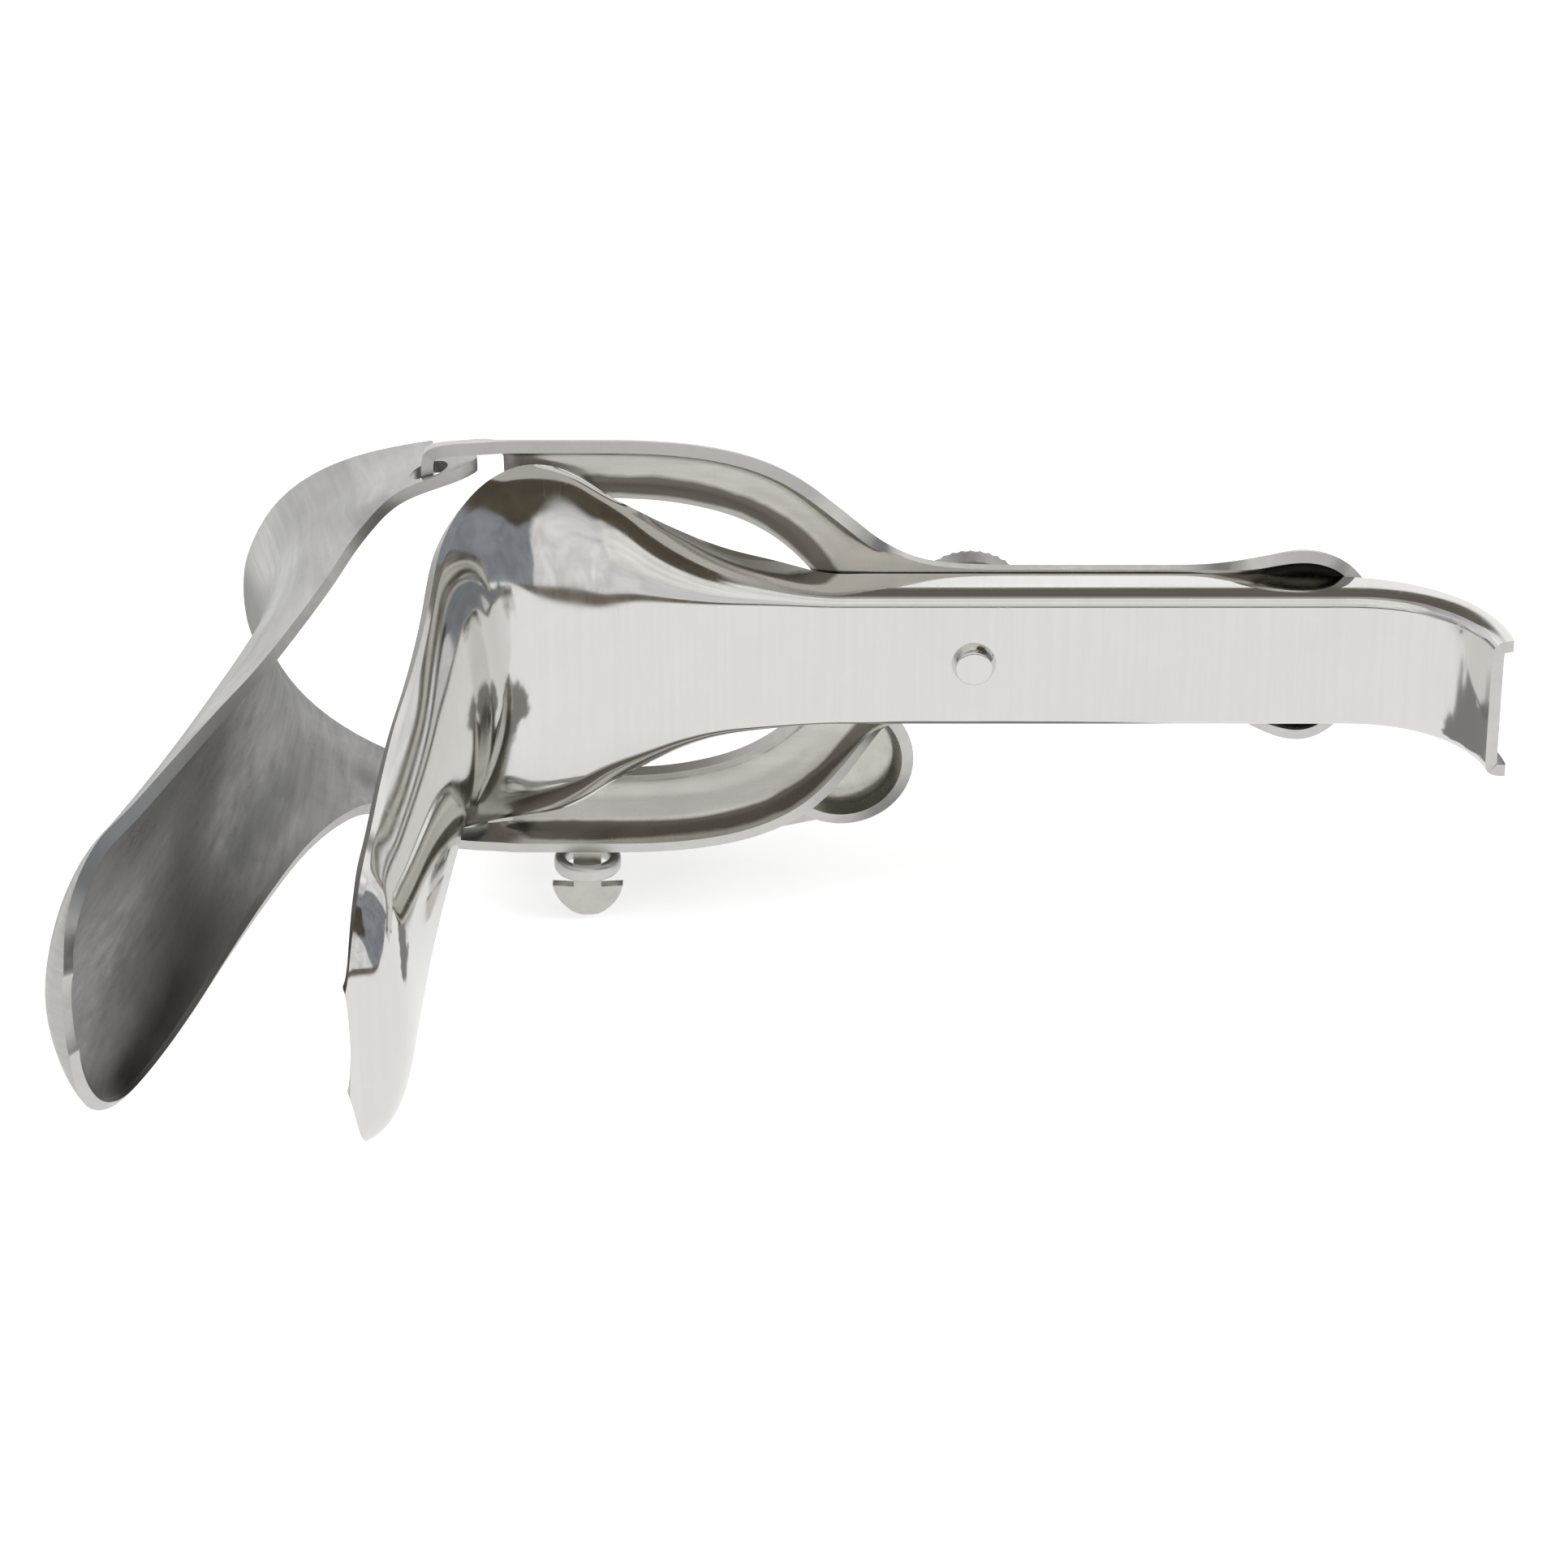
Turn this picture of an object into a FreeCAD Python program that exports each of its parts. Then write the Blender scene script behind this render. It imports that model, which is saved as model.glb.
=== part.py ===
# Two-bladed vaginal speculum with a sliding fork, built in millimetres.
# X runs along the handle, Y points away from the patient, Z across the blades.
# Points are written from the stud on the handle and shifted on saving, so
# that the origin is the middle of the flat front face of the handle.
import FreeCAD, Part
import math
import os

os.makedirs("parts", exist_ok=True)
V = FreeCAD.Vector

# Sheet and fits
sheet = 1.5
running_fit = 0.05
slide_gap = 0.3
ear_gap = 0.6
hinge_play = 0.45
stud_clearance = 0.3

# Handle: a channel along X, its flat front at Y = 0 and its stud at X = 0
face_x = 24.0
handle_half = 9.1
handle_depth = 6.8
corner = 2.2
handle_start = -14.0
handle_bend = 47.0
end_radius = 15.0
low_depth = 4.6

# Lower blade: bell mouth, the bend at its heel and the trough
flare_half = 20.0
flare_knee = 15.0
heel_x = -45.5
heel_radius = 14.0
lower_length = 94.0

# Stud and its nut
stud_radius = 2.2
stud_head = 2.75
stud_end = 18.2
nut_radius = 7.8
nut_back = 17.2

# Sliding fork
slide_travel = 14.0
arm_half = 27.3
arm_front = 3.7
arm_width = 8.6
arm_draft = 0.9
web_end = -57.7
web_corner = 2.5
fade_end = -11.3
dome_x = 40.3
dome_x_half = 10.2
dome_overhang = 3.7
dome_rise = 6.4
lug_half = 4.45
lug_height = 4.2
neck_width = 3.5

# Hinge and upper blade
hinge_x = -66.8
hinge_y = 5.6
hinge_hole = 2.35
ear_radius = 6.0
open_angle = 20.0
upper_half = 16.9
upper_length = 99.5

# Thumb lever and its rivets
lever_sheet = 1.8
lever_gap = 1.7
pad_x = -16.2
pad_z = -18.3
pad_radius = 9.3
pad_rise = 4.6
root_x = -73.0
root_y = 9.0
rivet_points = ((-66.3, 11.4), (-71.0, 12.4))
rivet_radius = 1.2
rivet_head = 2.0
rivet_proud = 1.1

# Tension rod and its nut
hook_x = -48.3
hook_out = 3.1
eye_radius = 4.25
eye_hole = 2.75
eye_half = 1.0
rod_radius = 1.75
rod_end = 37.0
rod_nut_radius = 6.0
rod_nut_front = 21.0
rod_nut_length = 7.0

# Sizes that follow from these
strap_front = handle_depth + slide_gap
strap_back = strap_front + sheet
strap_half = handle_half + 0.4
slot_half = stud_radius + stud_clearance
throat_half = arm_half - arm_width
dome_z_half = strap_half + dome_overhang
dome_rim = low_depth + 0.5
strap_end = dome_x - dome_x_half + 2.4
pad_notch = dome_x - 7.3
ear_end = hinge_x - sheet / 2 - running_fit
ear_half = arm_half - sheet - ear_gap
tongue_reach = ear_half - sheet - 1.7
lug_z = arm_half + 5.7
hook_z = -arm_half - hook_out
lever_front = strap_back + lever_gap
lever_out = ear_half + lever_sheet


def save(name, shape):
    shape = shape.copy()
    shape.translate(V(-face_x, 0, 0))
    if not shape.isValid():
        print("not valid:", name)
    print(name, len(shape.Solids), round(shape.Volume, 1))
    shape.exportStep("parts/" + name + ".step")


def cylinder(radius, start, end):
    axis = end.sub(start)
    return Part.makeCylinder(radius, axis.Length, start, axis)


def spline(points):
    curve = Part.BSplineCurve()
    curve.interpolate(points)
    return curve.toShape()


def meet(p, a, q, b):
    # Crossing of the line through p along a with the line through q along b
    cross = a[0] * b[1] - a[1] * b[0]
    k = ((q[0] - p[0]) * b[1] - (q[1] - p[1]) * b[0]) / cross
    return (p[0] + k * a[0], p[1] + k * a[1])


def unit(a):
    length = math.hypot(a[0], a[1])
    return (a[0] / length, a[1] / length)


def half_profile(rim, depth, knee, flat, sag, inset, reach):
    # Half of a trough section as (side, height) points. inset moves the
    # wall inward by the sheet, reach carries it past the rim.
    slope = 2 * math.atan2(sag, flat)
    web = (math.cos(slope), math.sin(slope))
    start = (flat, sag)
    turn = meet(start, web, (knee, 0), (0, 1))
    wall = unit((rim - turn[0], depth - turn[1]))
    wall_length = math.hypot(rim - turn[0], depth - turn[1])
    setback = min(math.hypot(turn[0] - flat, turn[1] - sag), 0.8 * wall_length)
    end = (turn[0] + setback * wall[0], turn[1] + setback * wall[1])
    up = (-web[1] * inset, web[0] * inset)
    inward = (-wall[1] * inset, wall[0] * inset)
    start = (start[0] + up[0], start[1] + up[1])
    end = (end[0] + inward[0], end[1] + inward[1])
    turn = meet(start, web, end, wall)
    top = (rim + inward[0] + reach * wall[0], depth + inward[1] + reach * wall[1])
    return (0, inset), start, turn, end, top


def section(station, inset, reach):
    x, y, nx, ny, rim, depth, knee, flat, sag = station
    base, start, turn, end, top = half_profile(rim, depth, knee, flat, sag, inset, reach)

    def place(point, side):
        return V(x + nx * point[1], y + ny * point[1], side * point[0])

    def bend(side):
        curve = Part.BezierCurve()
        curve.setPoles([place(start, side), place(turn, side), place(end, side)])
        return curve.toShape()

    if sag == 0:
        web = Part.makeLine(place(start, -1), place(start, 1))
    else:
        web = Part.Arc(place(start, -1), place(base, 1), place(start, 1)).toShape()
    edges = [Part.makeLine(place(top, -1), place(end, -1))]
    edges.append(bend(-1))
    edges.append(web)
    edges.append(bend(1))
    edges.append(Part.makeLine(place(end, 1), place(top, 1)))
    edges.append(Part.makeLine(place(top, 1), place(top, -1)))
    return Part.Wire(Part.__sortEdges__(edges))


def trough(stations, tip_back):
    # Solid through the outer sections less the hollow, which stops short of
    # the tip by the sheet when tip_back is set
    outer = Part.makeLoft([section(s, 0, 0) for s in stations], True, False)
    inner_stations = stations
    if tip_back:
        inner_stations = stations[:-1]
    hollow = Part.makeLoft([section(s, sheet, 3) for s in inner_stations], True, False)
    return outer.cut(hollow)


def lower_blade_stations():
    # x, y of the back, direction into the trough, rim half width, depth,
    # knee half width, flat half width, crown of the back
    rows = []
    for x in (handle_start, handle_start - 4):
        rows.append((x, 0, 0, 1, handle_half, handle_depth, handle_half, handle_half - corner, 0.01))
    # The bell mouth widens from the handle: x, shares of the widening of rim and knee, flat, crown
    for x, rim, knee, flat, crown in ((-24.4, 0.165, 0.085, -1.5, 0.05), (-30.5, 0.312, 0.254, -1.5, 0.1),
                                      (-36.0, 0.523, 0.492, -1.7, 0.2), (-41.0, 0.761, 0.763, -1.9, 0.3)):
        rim = handle_half + rim * (flare_half - handle_half)
        knee = handle_half + knee * (flare_knee - handle_half)
        rows.append((x, 0, 0, 1, rim, handle_depth, knee, handle_half + flat, crown))
    # Angle round the heel, rim and knee beside the flare's, depth
    heel_rows = ((0, 0, 7.2, 0), (11, 3.0, 7.7, 1.6), (22, 4.2, 8.6, 2.6), (33, 3.7, 8.6, 2.8),
                 (44, 2.8, 7.9, 2.4), (66, 0.2, 6.4, 1.2), (86, -1.6, 5.6, 0))
    for angle, rim, depth, knee in heel_rows:
        a = math.radians(angle)
        nx, ny = -math.sin(a), math.cos(a)
        x, y = heel_x + heel_radius * nx, -heel_radius + heel_radius * ny
        rows.append((x, y, nx, ny, flare_half + rim, depth, flare_knee + knee, 7.0, 0.5))
    # Share of the length, how far the back has moved out, rim half width, depth
    back = heel_x - heel_radius
    for y, out, rim, depth in ((0.234, 0.6, 16.9, 5.4), (0.362, 1.4, 15.6, 5.5), (0.5, 2.2, 14.7, 6.0),
                               (0.638, 2.9, 14.5, 5.9), (0.766, 3.3, 14.9, 5.7), (0.862, 3.5, 15.7, 5.6)):
        rows.append((back - out, -lower_length * y, -1, 0, rim, depth, rim - 2.6, 6.5, 0.6))
    for y, out, rim, depth in ((0.92, 3.8, 15.6, 5.4), (0.962, 4.7, 13.6, 4.8), (0.988, 6.0, 10.2, 3.8),
                               (1, 7.1, 5.8, 3.0)):
        rows.append((back - out, -lower_length * y, -1, 0, rim, depth, rim * 0.8, rim * 0.4, 0.5))
    return rows


def upper_blade_stations():
    # Sections of the upper blade about its hinge with the blades closed. The
    # arched mouth narrows from the ears to the trough.
    mouth = ear_half - upper_half
    rows = [(-30.6, 5.2, 0.993, 0.12, ear_half, 33.5, ear_half - 4.9, 6.0, 0.8)]
    rows.append((-26.6, -0.5, 0.999, 0.05, upper_half + 0.98 * mouth, 30.1, ear_half - 6.6, 6.0, 0.8))
    rows.append((-23.2, -5.5, 1, 0, upper_half + 0.69 * mouth, 19.5, upper_half - 0.7, 6.0, 0.8))
    rim = upper_half + 0.28 * mouth
    rows.append((-20.8, -0.11 * upper_length, 1, 0, rim, 14.2, upper_half - 1.7, 6.0, 0.8))
    # Height of the back, share of the length, rim beside the mouth's, depth, knee beside the rim
    for x, y, rim, depth, knee in ((-18.6, 0.191, 0, 11.7, 2.7), (-16.6, 0.302, -1.4, 10.1, 2.1),
                                   (-14.6, 0.432, -1.6, 9.2, 2.1), (-12.2, 0.563, -1.0, 7.9, 2.3),
                                   (-9.9, 0.704, -0.3, 7.0, 2.4), (-8.2, 0.824, -0.1, 6.2, 2.6),
                                   (-7.2, 0.905, -0.4, 5.2, 2.9)):
        rim += upper_half
        rows.append((x, -y * upper_length, 1, 0, rim, depth, rim - knee, 6.0, 0.8))
    # The rounded tip, whose half widths are its own
    tip = ((-6.2, 0.959, 14.0, 4.2, 11.2, 5.2), (-5.4, 0.988, 10.2, 3.4, 8.2, 3.8),
           (-4.8, 1, 5.8, 2.8, 4.6, 2.2))
    for x, y, rim, depth, knee, flat in tip:
        rows.append((x, -y * upper_length, 1, 0, rim, depth, knee, flat, 0.4))
    return rows


def swing_open(shape):
    root = V(hinge_x + 1.8, hinge_y - 0.6, 0)
    shape = shape.copy()
    shape.translate(root)
    shape.rotate(root, V(0, 0, 1), -open_angle)
    return shape


def extrude(points, start, depth, direction):
    face = Part.Face(Part.makePolygon(points + [points[0]]))
    face.translate(start)
    return face.extrude(direction.multiply(depth))


def handle_straight():
    station = (handle_start, 0, 0, 1, handle_half, handle_depth, handle_half, handle_half - corner, 0)
    length = V(handle_bend - handle_start, 0, 0)
    outer = Part.Face(section(station, 0, 0)).extrude(length)
    hollow = Part.Face(section(station, sheet, 3)).extrude(length)
    bar = outer.cut(hollow)
    # The flanges are lower under the thumb pad of the fork
    low = [V(pad_notch - 1.5, handle_depth + 5, 0), V(pad_notch - 1.5, handle_depth, 0)]
    low += [V(pad_notch + 1.5, low_depth, 0), V(handle_bend + 1, low_depth, 0)]
    low.append(V(handle_bend + 1, handle_depth + 5, 0))
    return bar.cut(extrude(low, V(0, 0, -20), 40, V(0, 0, 1)))


def handle_end():
    rows = []
    for angle, drop in ((0, 0), (8, 0), (25, 0.1), (45, 0.3), (65, 0.6), (82, 1.1)):
        a = math.radians(angle)
        nx, ny = math.sin(a), math.cos(a)
        x, y = handle_bend + end_radius * nx, -end_radius + end_radius * ny
        rows.append((x, y, nx, ny, handle_half, low_depth - drop, handle_half, handle_half - corner, 0.01))
    return trough(rows, False)


def lower_blade():
    blade = trough(lower_blade_stations(), True)
    # The flared rim is ground flat where the fork slides past
    level = Part.makeBox(60, 20, 80, V(handle_start - 60, handle_depth, -40))
    blade = blade.cut(level)
    whole = handle_straight().fuse([blade, handle_end()]).removeSplitter()
    return whole.cut(cylinder(stud_head, V(0, -5, 0), V(0, 5, 0)))


def handle_stud():
    # The shoulder fills its hole in the sheet, and the head stands on it
    points = [V(0, -1.5, 0), V(stud_head - 0.85, -1.5, 0), V(stud_head - 0.45, -1.1, 0), V(stud_head, 0, 0)]
    points += [V(stud_head, sheet, 0), V(stud_radius, sheet, 0)]
    points += [V(stud_radius, stud_end - 0.8, 0), V(stud_radius - 0.8, stud_end, 0), V(0, stud_end, 0)]
    return Part.Face(Part.makePolygon(points + [points[0]])).revolve(V(0, 0, 0), V(0, 1, 0), 360)


def turned(points, x, z):
    shape = Part.Face(Part.makePolygon(points + [points[0]])).revolve(V(0, 0, 0), V(0, 1, 0), 360)
    shape.translate(V(x, 0, z))
    return shape


def handle_nut():
    bore = stud_radius + running_fit
    points = [V(bore, strap_back, 0), V(nut_radius - 1.2, strap_back, 0)]
    points += [V(nut_radius - 1.0, strap_back + 1.6, 0), V(nut_radius, nut_back - 3.4, 0)]
    points += [V(nut_radius, nut_back - 0.4, 0), V(nut_radius - 0.4, nut_back, 0), V(bore, nut_back, 0)]
    return turned(points, 0, 0)


def fork_outline():
    # Outer edge of one arm at the back face, as it narrows to the strap
    shares = ((-40, 1), (-33.4, 0.966), (-27.3, 0.888), (-22.5, 0.758), (-18.9, 0.601), (-14.9, 0.388),
              (-10.9, 0.174), (-6.5, 0.039), (-2, 0.006), (2, 0))
    return [(x, strap_half + share * (arm_half - strap_half)) for x, share in shares]


def throat_outline():
    # Inner edge of one arm, from its straight part to the middle of the throat
    shares = ((-45, 1), (-37.6, 0.979), (-32.7, 0.925), (-28.5, 0.85), (-24.4, 0.717), (-20.7, 0.535),
              (-17.2, 0.294))
    return [(x, throat_half * share) for x, share in shares]


def shifted(points, distance):
    moved = []
    for i, (x, z) in enumerate(points):
        before = points[max(i - 1, 0)]
        after = points[min(i + 1, len(points) - 1)]
        dx, dz = unit((after[0] - before[0], after[1] - before[1]))
        moved.append((x - dz * distance, z + dx * distance))
    return moved


def fork_wire(level, offset, width, side):
    outer = [(ear_end, arm_half), (-40, arm_half)]
    outer = shifted(outer, offset)
    curve = shifted(fork_outline(), offset)
    inner = shifted(fork_outline(), offset - width)
    low = shifted([(ear_end, arm_half), (-40, arm_half)], offset - width)

    def point(p):
        return V(p[0], level, side * p[1])

    edges = [Part.makeLine(point(low[0]), point(outer[0]))]
    edges.append(Part.makeLine(point(outer[0]), point(curve[0])))
    edges.append(spline([point(p) for p in curve]))
    edges.append(Part.makeLine(point(curve[-1]), point(inner[-1])))
    edges.append(spline([point(p) for p in inner]))
    edges.append(Part.makeLine(point(inner[0]), point(low[0])))
    return Part.Wire(Part.__sortEdges__(edges))


def fork_flange(side):
    wires = [fork_wire(strap_back, 0, sheet, side), fork_wire(arm_front, arm_draft, sheet, side)]
    wall = Part.makeLoft(wires, True, True)
    fade = [V(fade_end - 5.5, arm_front - 1, 0), V(fade_end - 5.5, arm_front, 0), V(fade_end, strap_front, 0)]
    fade += [V(10, strap_front, 0), V(10, arm_front - 1, 0)]
    return wall.cut(extrude(fade, V(0, 0, -40), 80, V(0, 0, 1)))


def fork_plate():
    def point(p, side):
        return V(p[0], strap_front, side * p[1])

    inner = throat_outline()
    start = web_end + web_corner
    edges = []
    for side in (1, -1):
        edges.append(spline([point(p, side) for p in fork_outline()]))
        outer = [(-40, arm_half), (web_end - 1, arm_half), (web_end - 1, arm_half - 1.5)]
        for a, b in zip(outer, outer[1:]):
            edges.append(Part.makeLine(point(a, side), point(b, side)))
        bend = [outer[-1], (web_end - 0.3, arm_half - 1.8), (web_end, arm_half - 2.5)]
        edges.append(Part.Arc(*[point(p, side) for p in bend]).toShape())
        turn = [(web_end, throat_half + web_corner)]
        turn += [(start - 0.7 * web_corner, throat_half + 0.3 * web_corner), (start, throat_half)]
        edges.append(Part.makeLine(point(bend[-1], side), point(turn[0], side)))
        edges.append(Part.Arc(*[point(p, side) for p in turn]).toShape())
        edges.append(Part.makeLine(point(turn[-1], side), point(inner[0], side)))
        edges.append(Part.makeLine(point((2, strap_half), side), point((strap_end, strap_half), side)))
    edges.append(Part.makeLine(point((strap_end, strap_half), 1), point((strap_end, strap_half), -1)))
    throat = [point(p, 1) for p in inner] + [V(-15.6, strap_front, 0)]
    throat += [point(p, -1) for p in reversed(inner)]
    edges.append(spline(throat))
    face = Part.Face(Part.Wire(Part.__sortEdges__(edges)))
    return face.extrude(V(0, sheet, 0))


def barrel(inset):
    # Cap turned about a line along X: the arc sets the length, the turn the width
    chord = (dome_x_half ** 2 + dome_rise ** 2) / (2 * dome_rise)
    turn = (dome_z_half ** 2 + dome_rise ** 2) / (2 * dome_rise)
    axis_y = dome_rim + dome_rise - turn
    middle_y = dome_rim + dome_rise - chord
    radius = chord - inset
    half = 0.98 * radius
    drop = math.sqrt(radius ** 2 - half ** 2)
    a = V(dome_x - half, middle_y + drop, 0)
    b = V(dome_x + half, middle_y + drop, 0)
    arc = Part.Arc(a, V(dome_x, middle_y + radius, 0), b).toShape()
    low_a, low_b = V(dome_x - half, axis_y, 0), V(dome_x + half, axis_y, 0)
    wire = Part.Wire([arc, Part.makeLine(b, low_b), Part.makeLine(low_b, low_a), Part.makeLine(low_a, a)])
    return Part.Face(wire).revolve(V(dome_x, axis_y, 0), V(1, 0, 0), 360)


def lug():
    # Neck bent out of the lower arm, with a half-moon head that holds the rod's eye
    front = arm_front + 0.1
    neck = Part.makeBox(neck_width, sheet, 7.0, V(hook_x - neck_width / 2, front, -lug_z - 0.5))
    side = [(1, 0), (0.86, 0.4), (0.62, 0.74), (0.34, 0.96)]

    def place(share, drop):
        return V(hook_x + share * lug_half, front, -lug_z - drop * lug_height)

    right = [place(share, drop) for share, drop in side]
    left = [place(-share, drop) for share, drop in side]
    edges = [spline(right), spline(left), Part.makeLine(right[0], left[0])]
    edges.append(Part.Arc(right[-1], place(0, 1), left[-1]).toShape())
    head = Part.Face(Part.Wire(Part.__sortEdges__(edges))).extrude(V(0, sheet, 0))
    return [neck, head]


def fork():
    cup_outer = barrel(0)
    cup_inner = barrel(sheet)
    below = Part.makeBox(60, 60, 60, V(dome_x - 30, dome_rim - 60, -30))
    clear_half = handle_half + 0.5
    clear = Part.makeBox(60, 20, 2 * clear_half, V(dome_x - 30, strap_front - 20, -clear_half))
    plate = fork_plate().cut(cup_inner)
    cup = cup_outer.cut([cup_inner, below, clear])
    # The ends of the ears are turned in and stand in the upper blade's holes
    tongues = []
    half = hinge_hole - hinge_play
    size = arm_half - 0.4 - tongue_reach
    for low in (tongue_reach, -tongue_reach - size):
        tongues.append(Part.makeBox(sheet, 2 * half, size, V(ear_end, hinge_y - half, low)))
    whole = plate.fuse([fork_flange(1), fork_flange(-1)] + lug() + tongues).removeSplitter()
    slot = Part.makeBox(slide_travel, 10, 2 * slot_half, V(0, strap_front - 2, -slot_half))
    ends = []
    for x in (0, slide_travel):
        ends.append(cylinder(slot_half, V(x, strap_front - 2, 0), V(x, strap_front + 8, 0)))
    notches = []
    for x in (hook_x - neck_width / 2 - 1.5, hook_x + neck_width / 2):
        notches.append(Part.makeBox(1.5, 1.2, 4, V(x, arm_front - 0.4, -arm_half - 2.7)))
    whole = whole.cut([slot] + ends + notches)
    return whole.fuse(cup)


def ear_trim():
    block = Part.makeBox(30, 60, 80, V(hinge_x, hinge_y - 30, -40))
    return block.cut(cylinder(ear_radius, V(hinge_x, hinge_y, -40), V(hinge_x, hinge_y, 40)))


def rivet_holes():
    return [cylinder(rivet_radius, V(x, y, -50), V(x, y, -10)) for x, y in rivet_points]


def upper_blade():
    blade = swing_open(trough(upper_blade_stations(), True))
    hinge = cylinder(hinge_hole, V(hinge_x, hinge_y, -40), V(hinge_x, hinge_y, 40))
    return blade.cut([hinge, ear_trim()] + rivet_holes())


def dish(inset):
    # Round pad turned about Y: a flat bottom, a bevelled corner and a steep wall
    radius = pad_radius - inset
    top = pad_rise - inset
    points = [V(0, -1, 0), V(radius, -1, 0), V(radius - 0.3, top - 2.7, 0), V(radius - 1.1, top - 0.8, 0)]
    points += [V(radius - 3.0, top, 0), V(0, top, 0)]
    shape = turned(points, pad_x, pad_z)
    shape.translate(V(0, lever_front, 0))
    return shape


def thumb_lever():
    # Root strap lying on the outside of the upper blade, arm and thumb pad
    rows = upper_blade_stations()
    skin = Part.makeLoft([section(s, -lever_sheet, 0) for s in rows[:6]], True, False)
    core = Part.makeLoft([section(s, 0, 3) for s in rows[:6]], True, False)
    region = Part.makeBox(11.6, 7.4, 20, V(root_x, root_y, -lever_out - 5))
    root = swing_open(skin).common(region).cut(swing_open(core))
    plan = [(root_x + 10.5, lever_out - 6), (root_x + 10.5, lever_out - 0.2)]
    plan += [(root_x + 12.4, lever_out + 1.6), (hook_x - 8.2, lever_out + 1.8)]
    plan += [(hook_x - 6.2, lever_out + 4.2), (hook_x + 9.8, lever_out + 4.2)]
    plan += [(hook_x + 11.8, lever_out + 1.8), (-24, lever_out + 1)]
    plan += [(pad_x + 1.2, 7.7 - pad_z), (pad_x + 1.2, -pad_z - 6.3), (pad_x - 4.8, -pad_z - 3.8)]
    plan += [(-27, lever_out - 6.6), (-33, lever_out - 6)]
    arm = extrude([V(x, 0, -z) for x, z in plan], V(0, lever_front, 0), lever_sheet, V(0, 1, 0))
    below = Part.makeBox(60, 60, 60, V(pad_x - 30, lever_front - 60, pad_z - 30))
    cup = dish(0).cut([dish(sheet), below])
    arm = arm.cut(dish(sheet))
    # Open notch in which the rod lies
    notch = Part.makeBox(10.0, 6, 4, V(hook_x - 3.2, lever_front - 2, hook_z + rod_radius - 4.0 + 0.5))
    lever = root.fuse([arm, cup]).removeSplitter()
    return lever.cut([notch] + rivet_holes())


def lever_rivets(blade, lever):
    parts = []
    for x, y in rivet_points:
        outer = V(x, y, -lever_out - rivet_proud)
        inner = V(x, y, sheet + 1.4 - ear_half)
        rivet = cylinder(rivet_head, outer, inner).cut([blade, lever])
        parts += rivet.Solids
    return Part.Compound(parts)


def tension_rod():
    eye = cylinder(eye_radius, V(hook_x, hinge_y, hook_z - eye_half), V(hook_x, hinge_y, hook_z + eye_half))
    hole = cylinder(eye_hole, V(hook_x, hinge_y, hook_z - 2), V(hook_x, hinge_y, hook_z + 2))
    rod = cylinder(rod_radius, V(hook_x, hinge_y + eye_radius - 0.65, hook_z), V(hook_x, rod_end, hook_z))
    stop = cylinder(rod_radius + 0.7, V(hook_x, rod_end, hook_z), V(hook_x, rod_end + 1.2, hook_z))
    return eye.fuse([rod, stop]).cut(hole)


def rod_nut():
    bore = rod_radius + running_fit
    front = rod_nut_front
    end = front + rod_nut_length
    points = [V(bore, front, 0), V(rod_nut_radius - 1.4, front, 0), V(rod_nut_radius - 1.0, front + 1.4, 0)]
    points += [V(rod_nut_radius, front + 2.2, 0), V(rod_nut_radius, end - 0.4, 0)]
    points += [V(rod_nut_radius - 0.4, end, 0), V(bore, end, 0)]
    return turned(points, hook_x, hook_z)


blade = upper_blade()
lever = thumb_lever()
save("lower_blade", lower_blade())
save("handle_stud", handle_stud())
save("handle_nut", handle_nut())
save("fork", fork())
save("upper_blade", blade)
save("thumb_lever", lever)
save("lever_rivets", lever_rivets(blade, lever))
save("tension_rod", tension_rod())
save("rod_nut", rod_nut())
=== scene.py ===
"""Two-bladed speculum in polished sheet steel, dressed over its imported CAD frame.

Lengths in the tables are millimetres from the stud on the handle, as on a drawing of the instrument.
X runs along the handle, Y away from the patient, Z across the blades.
"""

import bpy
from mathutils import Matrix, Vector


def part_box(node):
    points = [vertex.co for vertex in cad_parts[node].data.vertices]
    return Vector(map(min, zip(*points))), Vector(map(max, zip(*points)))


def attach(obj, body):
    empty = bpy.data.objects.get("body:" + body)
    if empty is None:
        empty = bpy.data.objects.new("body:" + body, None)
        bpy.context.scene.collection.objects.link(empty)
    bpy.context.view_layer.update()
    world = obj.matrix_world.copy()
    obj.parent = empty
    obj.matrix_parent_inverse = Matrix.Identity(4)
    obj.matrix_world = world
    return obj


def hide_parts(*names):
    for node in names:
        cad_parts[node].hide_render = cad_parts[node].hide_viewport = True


bl_info = {
    "name": "Bivalve Speculum",
    "version": (1, 0, 0),
    "blender": (4, 5, 0),
    "location": "3D View > Sidebar > Speculum",
    "description": "Builds the sheet steel pieces, nuts and rod of a bivalve speculum and its studio",
    "category": "Object",
}

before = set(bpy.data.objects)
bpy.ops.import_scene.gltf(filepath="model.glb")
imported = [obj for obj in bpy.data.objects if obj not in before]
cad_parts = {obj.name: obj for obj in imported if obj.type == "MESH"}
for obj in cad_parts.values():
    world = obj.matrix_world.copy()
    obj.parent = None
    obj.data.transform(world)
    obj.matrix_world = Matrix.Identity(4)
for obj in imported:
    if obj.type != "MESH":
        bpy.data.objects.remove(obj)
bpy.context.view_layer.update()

import math

import bmesh
import bpy
from bpy.props import FloatProperty, FloatVectorProperty, IntProperty, PointerProperty
from mathutils import Matrix, Vector

MM = 0.001
FACE_X = 24.0
HINGE = (-65.0, 5.0)
SHEET = 1.5
# Reach of a cutter that goes right through the instrument
BEYOND = 40

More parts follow.
